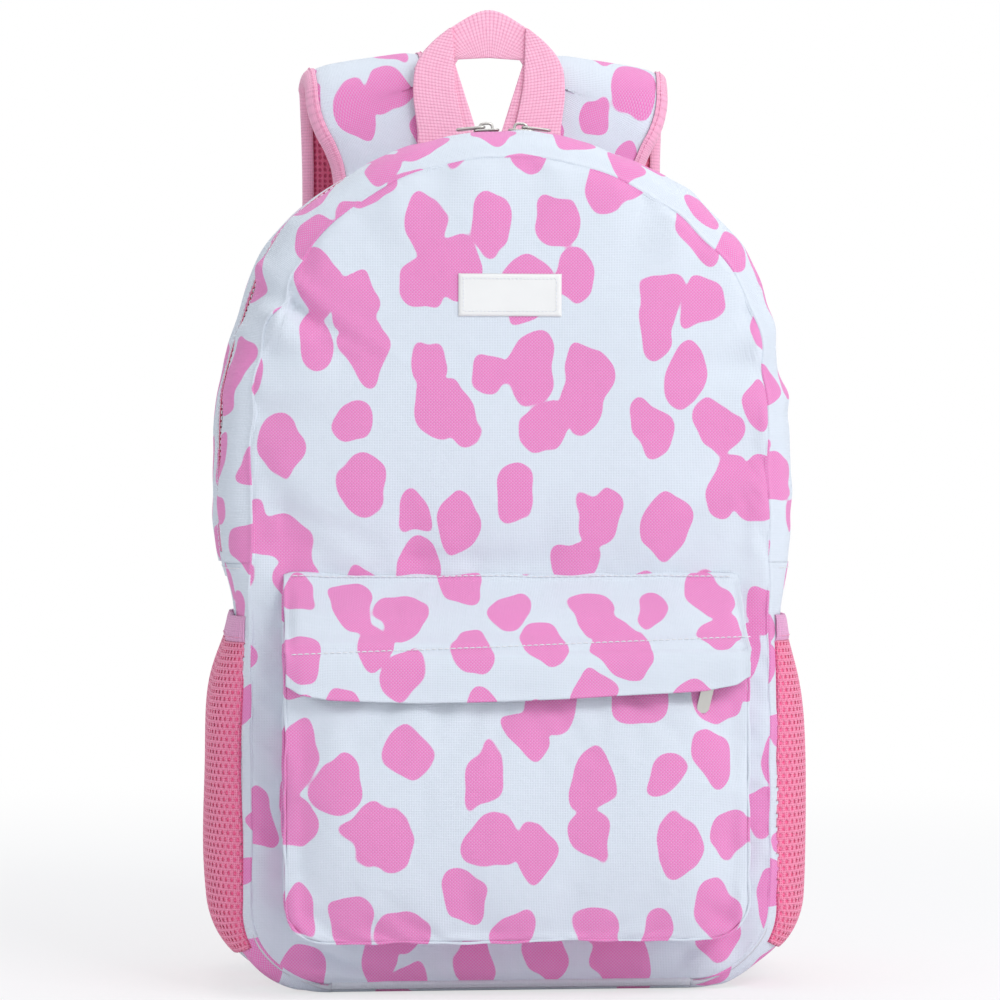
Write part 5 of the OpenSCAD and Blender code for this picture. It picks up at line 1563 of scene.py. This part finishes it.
HEIGHT = SZ1 - SZ0 - EL_W
for sd, nm in ((-1, "left"), (1, "right")):
    def wob(k, y):
        """The net's slack: it waves, and most near its mouth."""
        wave = 0.7 * wavy(151 + sd, k * 150, y, f=0.05) * np.sin(PI * np.clip(k, 0, 1))
        return wave + 0.5 * wavy(153 + sd, y + 0 * k, f=0.16) * np.clip((k - 0.7) / 0.3, 0, 1)

    # open net: hexagonal cells with round holes
    P, Rh = 3.8, 0.54
    dx, dz = P, P * 0.866
    rows, cols = int(HEIGHT / dz) + 1, int(ARC / dx) + 1
    idx, verts, faces = {}, [], []

    def vert(a, b):
        key = (round(a * 50), round(b * 50))
        if key not in idx:
            idx[key] = len(verts)
            verts.append((a, b))
        return idx[key]
    ang = [math.radians(30 + 60 * i) for i in range(6)]
    Ro = P / math.sqrt(3)
    for r in range(rows + 1):
        for c in range(cols + 1):
            a, b = c * dx + (r % 2) * dx / 2, r * dz
            outer = [vert(a + Ro * math.cos(t), b + Ro * math.sin(t)) for t in ang]
            base = len(verts)
            verts += [(a + Rh * Ro * math.cos(t), b + Rh * Ro * math.sin(t)) for t in ang]
            faces += [(outer[i], outer[(i + 1) % 6], base + (i + 1) % 6, base + i) for i in range(6)]
    V = np.array(verts)
    a, b = np.clip(V[:, 0], 0, ARC), np.clip(V[:, 1], 0, HEIGHT)
    k, y = b / HEIGHT * S_TOPK, y_of(a)
    pts = side_at(k, y, 0.9 + wob(k, y), sd)
    keep = [f for f in faces
            if V[list(f), 0].min() < ARC and V[list(f), 1].min() < HEIGHT
            and V[list(f), 0].max() > 0 and V[list(f), 1].max() > 0]
    ob = mesh("side_net_" + nm, pts, keep, NET, np.c_[a, b] * 0.001)
    kk = len(ob.data.polygons) * 3
    nr, ct = np.empty(kk), np.empty(kk)
    ob.data.polygons.foreach_get("normal", nr)
    ob.data.polygons.foreach_get("center", ct)
    if (nr.reshape(-1, 3)[:, 0] * sd).sum() < 0:
        ob.data.flip_normals()
    shell(ob, 0.55)
    piece(ob, "bag", ["side_pocket_" + nm])
    # the finer layer behind it
    ka, aa = np.linspace(0, S_TOPK, 60)[:, None], np.linspace(0, ARC, 48)[None]
    yy = y_of(aa)
    pts = side_at(ka + 0 * yy, yy + 0 * ka, wob(ka + 0 * yy, yy + 0 * ka) + 0.15, sd)
    ob = grid("side_net_back_" + nm, pts, uv_of(aa + 0 * ka, ka * (SZ1 - SZ0) + 0 * aa), NET_BACK)
    shell(ob, 0.5)
    piece(ob, "bag")
    # elastic hem, gathered
    ke, ae = np.linspace(S_TOPK - 0.008, 1.0, 9)[:, None], np.linspace(0, ARC, 150)[None]

    def band(k, a):
        """Height of the elastic over the pocket: gathered across, its two edges pulled down."""
        across_band = np.clip((k - S_TOPK + 0.01) / (1 - S_TOPK + 0.02), 0, 1)
        fold = 0.45 * np.sin(a * 1.15 + 2 * np.sin(a * 0.11)) * np.sin(PI * across_band) ** 0.5
        return 1.3 + wob(k, y_of(a)) + fold - 0.7 * np.abs((k - (S_TOPK + 1) / 2) / ((1 - S_TOPK) / 2)) ** 6

    ke, ae = np.broadcast_arrays(ke, ae)
    ob = grid("side_elastic_band_" + nm, side_at(ke, y_of(ae), band(ke, ae), sd),
              uv_of(ae, ke * (SZ1 - SZ0)), ELASTIC)
    finer(ob)
    shell(ob, 1.3)
    piece(ob, "bag", ["side_elastic_" + nm])
    ke, ae = np.full(150, S_TOPK + 0.014), np.linspace(3, ARC - 3, 150)
    nn = unit(np.stack([np.full(150, float(sd)), y_of(ae) / 160, 0 * ae], 1))
    stitches("side_stitch_" + nm, side_at(ke, y_of(ae), band(ke, ae), sd), nn, "bag", THREAD_P, pitch=2.6,
             length=2.0, r=0.22)


# ---------------------------------------------------------------- metal
for n in ("pocket_slider", "pocket_pull"):
    o = NODES[n]
    o.data.materials.clear()
    o.data.materials.append(NICKEL)

ZIP_R = SEAM_R + BULGE - 2.0
SLIDE_A = math.asin(8.5 / ZIP_R)
PLATE_Z = 2.2 + 1.6                  # underside of a main slider's upper plate, over the tape
PLATE_T = 1.1
BAIL_Z = PLATE_Z + PLATE_T           # its upper face, where the bail stands


def crown(sd, p):
    """Puts points drawn along, across and out from a closed main slider's middle on the crown."""
    a, b, c = np.moveaxis(np.asarray(p, float), -1, 0)
    x = a * math.cos(SLIDE_A) + (c + ZIP_R) * math.sin(SLIDE_A)
    z = -a * math.sin(SLIDE_A) + (c + ZIP_R) * math.cos(SLIDE_A)
    return np.stack([sd * x, b + ZIP_Y, z + CROWN_Z], -1)


def rounded(x0, x1, y0, y1, r, n=16):
    """A rounded box's outline, anticlockwise from the middle of its low x side, evenly spaced."""
    t = np.linspace(0, PI / 2, 9)
    cs = [(x0 + r, y0 + r, PI), (x1 - r, y0 + r, 1.5 * PI), (x1 - r, y1 - r, 0.0), (x0 + r, y1 - r, 0.5 * PI)]
    q = ([(x0, (y0 + y1) / 2)] + [(cx + r * math.cos(a + s), cy + r * math.sin(a + s)) for cx, cy,
                                  s in cs for a in t])
    return resample(q + q[:1], (np.hypot(*np.diff(q + q[:1], axis=0).T)).sum() / (4 * n))[:4 * n]


def slab(outline, z0, z1, r):
    """A plate with rounded edges: its points, in rings from the middle of one face to the other's."""
    mid = outline.mean(0)
    t = along(np.vstack([outline[-1:], outline, outline[:1]]))[1:-1]
    out = np.stack([t[:, 1], -t[:, 0]], 1)
    rings = ([(None, z0)] + [(r * (1 - math.sin(a)), z0 + r * (1 - math.cos(a)))
                             for a in np.linspace(0, PI / 2, 4)])
    rings += [(i, z0 + z1 - z) for i, z in rings[::-1]]
    return np.stack([np.c_[outline * 0.02 + mid * 0.98 if i is None else outline - out * i,
                           np.full(len(outline), z)]
                     for i, z in rings])


def cast(name, sd, parts, node):
    """Joins rings of points into one metal piece on the crown.
    A part with no end caps is closed on itself."""
    verts, faces = [], []
    for rings, closed in parts:
        n, k = rings.shape[:2]
        faces += quads(n, k, wrap_n=closed, wrap_m=True, start=len(verts))
        if not closed:
            faces += [tuple(len(verts) + i for i in range(k))[::-1],
                      tuple(len(verts) + (n - 1) * k + i for i in range(k))]
        verts += list(crown(sd, rings.reshape(-1, 3)))
    if sd < 0:
        faces = [f[::-1] for f in faces]
    piece(mesh(name, verts, faces, NICKEL), node, [node])


WIRE = 0.75
bow = [(-3.2, 3.2), (-3.2, 5.9), (-3.05, 6.9), (-2.5, 7.6), (-1.6, 7.98), (0, 8.1), (1.6, 7.98), (2.5, 7.6),
       (3.05, 6.9), (3.2, 5.9), (3.2, 3.2)]
bow = resample(np.insert(np.array(bow), 1, 0, axis=1) + [0, 0, BAIL_Z - 4.9], 0.35)
ring12 = np.stack([np.cos(np.arange(12) * PI / 6), np.sin(np.arange(12) * PI / 6)], 1) * WIRE
tb = along(bow)
wire = (bow[:, None] + np.cross(tb, [0.0, 1.0, 0.0])[:, None] * ring12[None, :, :1]
        + np.array([0, 1.0, 0]) * ring12[None, :, 1:])
tilt = math.radians(3)
for sd, nm in ((-1, "left"), (1, "right")):
    cast("slider_cast_" + nm, sd, [(slab(rounded(-6.5, 6.5, -5, 5, 2.6), PLATE_Z, BAIL_Z, 0.45), False),
                                   (slab(rounded(-6.5, 6.5, -5, 5, 2.6), -2.2, -1.1, 0.45), False),
                                   (slab(rounded(-5.9, -2.7, -0.6, 0.6, 0.5), -1.2, PLATE_Z + 0.1, 0.1),
                                    False),
                                   (slab(rounded(-5.2, 5.2, 4.0, 5.0, 0.4), 0.7, PLATE_Z + 0.1, 0.1), False),
                                   (wire, False)], "slider_" + nm)
    # pull: a rounded tab whose slot rides on the bail's outer post
    eye, rim_ = rounded(0.95, 4.3, -1.4, 1.4, 1.2), rounded(-0.9, 14.1, -3.0, 3.0, 2.7)
    tab = []
    for f, d, z in ((0, 0.0, 0.35), (0, 0.35, 0.7), (1, 0.5, 0.7), (1, 0.15, 0.55), (1, 0, 0.2),
                    (1, 0, -0.2), (1, 0.15, -0.55),
                    (1, 0.5, -0.7), (0, 0.35, -0.7), (0, 0.0, -0.35)):
        line = rim_ if f else eye
        tt = along(np.vstack([line[-1:], line, line[:1]]))[1:-1]
        q = line - np.stack([tt[:, 1], -tt[:, 0]], 1) * (d if f else -d)
        tab.append(np.c_[1.2 + q[:, 0] * math.cos(tilt) + z * math.sin(tilt), q[:, 1],
                         BAIL_Z + 1.3 - q[:, 0] * math.sin(tilt) + z * math.cos(tilt)])
    cast("pull_cast_" + nm, sd, [(np.array(tab), True)], "pull_" + nm)


# ---------------------------------------------------------------- floor, light
floor_mat = Mat("floor_paper", 0.9, Specular_IOR_Level=0.1)
floor_mat.color(floor_mat.mix(floor_mat.noise(floor_mat.pos(), 300.0, 3.0)[0], lin(246, 246, 247),
                              lin(240, 240, 242)))
t = floor_mat.tree
lp = floor_mat.node("LightPath")
# seen by the camera, the floor is lifted towards white but keeps the shadow
glow = floor_mat.node("Emission", {"Color": (1, 1, 1, 1), "Strength": 1.0})
seen = floor_mat.math("MAXIMUM", lp.outputs["Is Camera Ray"], lp.outputs["Is Glossy Ray"])
away = floor_mat.smooth(floor_mat.vec("LENGTH", floor_mat.pos()), 0.25, 1.3)
both = floor_mat.node("MixShader", {0: floor_mat.math("MULTIPLY", seen,
                                                      floor_mat.math("MULTIPLY_ADD", away, 0.35, 0.65))})
t.links.new(floor_mat.bsdf.outputs[0], both.inputs[1])
t.links.new(glow.outputs[0], both.inputs[2])
out = next(n for n in t.nodes if n.type == "OUTPUT_MATERIAL")
t.links.new(both.outputs[0], out.inputs[0])
floor = mesh("floor", [(-6000, -6000, -0.2), (6000, -6000, -0.2), (6000, 6000, -0.2), (-6000, 6000, -0.2)],
             [(0, 1, 2, 3)], floor_mat.mat, smooth=False)

SCENE.view_settings.view_transform = "Standard"
world = bpy.data.worlds.new("world")
SCENE.world = world
world.use_nodes = True
wt = world.node_tree
bg = wt.nodes["Background"]
bg.inputs[0].default_value = (0.91, 0.94, 1.0, 1)
bg.inputs[1].default_value = 0.56
white = wt.nodes.new("ShaderNodeBackground")
white.inputs[0].default_value = (1, 1, 1, 1)
white.inputs[1].default_value = 1.0
lp = wt.nodes.new("ShaderNodeLightPath")
mx = wt.nodes.new("ShaderNodeMixShader")
a = wt.nodes.new("ShaderNodeMath")
a.operation = "MAXIMUM"
b = wt.nodes.new("ShaderNodeMath")
b.operation = "MAXIMUM"
wt.links.new(lp.outputs["Is Camera Ray"], a.inputs[0])
wt.links.new(lp.outputs["Is Glossy Ray"], a.inputs[1])
wt.links.new(a.outputs[0], b.inputs[0])
wt.links.new(lp.outputs["Is Transmission Ray"], b.inputs[1])
wt.links.new(b.outputs[0], mx.inputs[0])
wt.links.new(bg.outputs[0], mx.inputs[1])
wt.links.new(white.outputs[0], mx.inputs[2])
wt.links.new(mx.outputs[0], wt.nodes["World Output"].inputs[0])


def softbox(name, loc, aim, size, power, color=(1, 1, 1)):
    l = bpy.data.lights.new(name, "AREA")
    l.shape = "RECTANGLE"
    l.size, l.size_y = size
    l.energy = power
    l.color = color
    o = bpy.data.objects.new(name, l)
    SCENE.collection.objects.link(o)
    o.location = loc
    o.rotation_euler = (Vector(aim) - Vector(loc)).to_track_quat("-Z", "Y").to_euler()


softbox("key_light", (0.9, -1.4, 1.6), (0, 0, 0.28), (0.9, 0.7), 17.5)
softbox("fill_light", (1.8, -0.9, 0.7), (0, 0, 0.22), (1.0, 1.2), 7, (0.97, 0.98, 1))
softbox("left_light", (-1.9, -1.0, 0.6), (0, 0, 0.22), (1.0, 1.4), 5, (0.95, 0.97, 1))
softbox("low_light", (0.2, -1.9, 0.16), (0, 0, 0.08), (1.6, 0.3), 1.3)
softbox("top_light", (0.0, 0.4, 1.9), (0, 0, 0.3), (1.2, 1.2), 8)


# ---------------------------------------------------------------- image points
def seen_xy(*names):
    pts = []
    for n in names:
        o = bpy.data.objects[n]
        m = np.array(o.matrix_world)
        pts.append(coords(o) @ m[:3, :3].T + m[:3, 3])
    return pixel_of(np.vstack(pts))


GAP_REACH = 32   # how far below the handle's gap its webbing is searched, in image rows


def edge(names, axis, way, at, near=5.0, upto=1e4):
    """Where the outline of some pieces crosses a row (axis 0) or column (axis 1) of the image.
    It looks no further than upto."""
    q = seen_xy(*names)
    q = q[(np.abs(q[:, 1 - axis] - at) < near) & (q[:, axis] < upto), axis]
    return float(q.max() if way > 0 else q.min())


def middle(name, *before):
    """The middle of what shows of a piece, past itself and the pieces named after it."""
    o = bpy.data.objects[name]
    trees = [tree_of(bpy.data.objects[n]) for n in (name,) + before]
    eye, seen = CAM.matrix_world.translation, []
    for v in coords(o)[::max(1, len(o.data.vertices) // 3000)]:
        p = o.matrix_world @ Vector(v)
        hits = [tr.ray_cast(eye, (p - eye).normalized())[3] for tr in trees]
        if all(h is None or h > (p - eye).length - 0.0008 for h in hits):
            seen.append(p)
    q = pixel_of(np.array(seen))
    return [float(v) for v in (q.min(0) + q.max(0)) / 2]


def seam_px(s):
    return [float(v) for v in pixel_of(seam_pt(np.array([s]), 0.0, -HD - 1.5) * 0.001)[0]]


ALL = [o.name for o in bpy.data.objects if o.type == "MESH" and not o.hide_render and o is not floor]
whole = seen_xy(*ALL)
rows_l, rows_r = (float(np.interp(POINTS["seam_left"][1], [seam_px(s)[1] for s in side],
                                  [seam_px(s)[0] for s in side]))
                  for side in (np.linspace(-L2, -L3, 60), np.linspace(L2, L3, 60)))
FOUND = {"left": (whole[:, 0].min(), None), "right": (whole[:, 0].max(), None),
         "top": (None, whole[:, 1].min()), "bottom": (None, whole[:, 1].max()),
         "label": middle("label_bare_patch"), "flap_stitch_left": list(seen_xy("flap_stitch")[0]),
         "flap_stitch_right": list(seen_xy("flap_stitch")[-1]),
         "flap_hem": (None, edge(["pocket_top_flap"], 1, 1, POINTS["flap_hem"][0])),
         "seam_top": (None, seam_px(0.0)[1]), "seam_left": (rows_l, None), "seam_right": (rows_r, None),
         "pocket_left": (edge(["pocket_seam_front"], 0, -1, POINTS["pocket_left"][1]), None),
         "pocket_right": (edge(["pocket_seam_front"], 0, 1, POINTS["pocket_right"][1]), None),
         "pocket_bottom": (None, edge(["pocket_seam_front"], 1, 1, POINTS["pocket_bottom"][0])),
         "slider_left": middle("slider_cast_left", "front_gusset_cloth"),
         "slider_right": middle("slider_cast_right", "front_gusset_cloth"),
         "elastic_left": middle("side_elastic_band_left", "side_cloth_left", "front_cloth"),
         "elastic_right": middle("side_elastic_band_right", "side_cloth_right", "front_cloth"),
         "handle_gap": (None, edge(["handle_web_back"], 1, 1, POINTS["handle_gap"][0], 3.0,
                                   POINTS["handle_gap"][1] + GAP_REACH))}
for key, found in FOUND.items():
    want = POINTS[key] if isinstance(POINTS[key], tuple) else (POINTS[key], POINTS[key])
    [None if f is None else round(float(f - w), 1) for f, w in zip(found, want)]
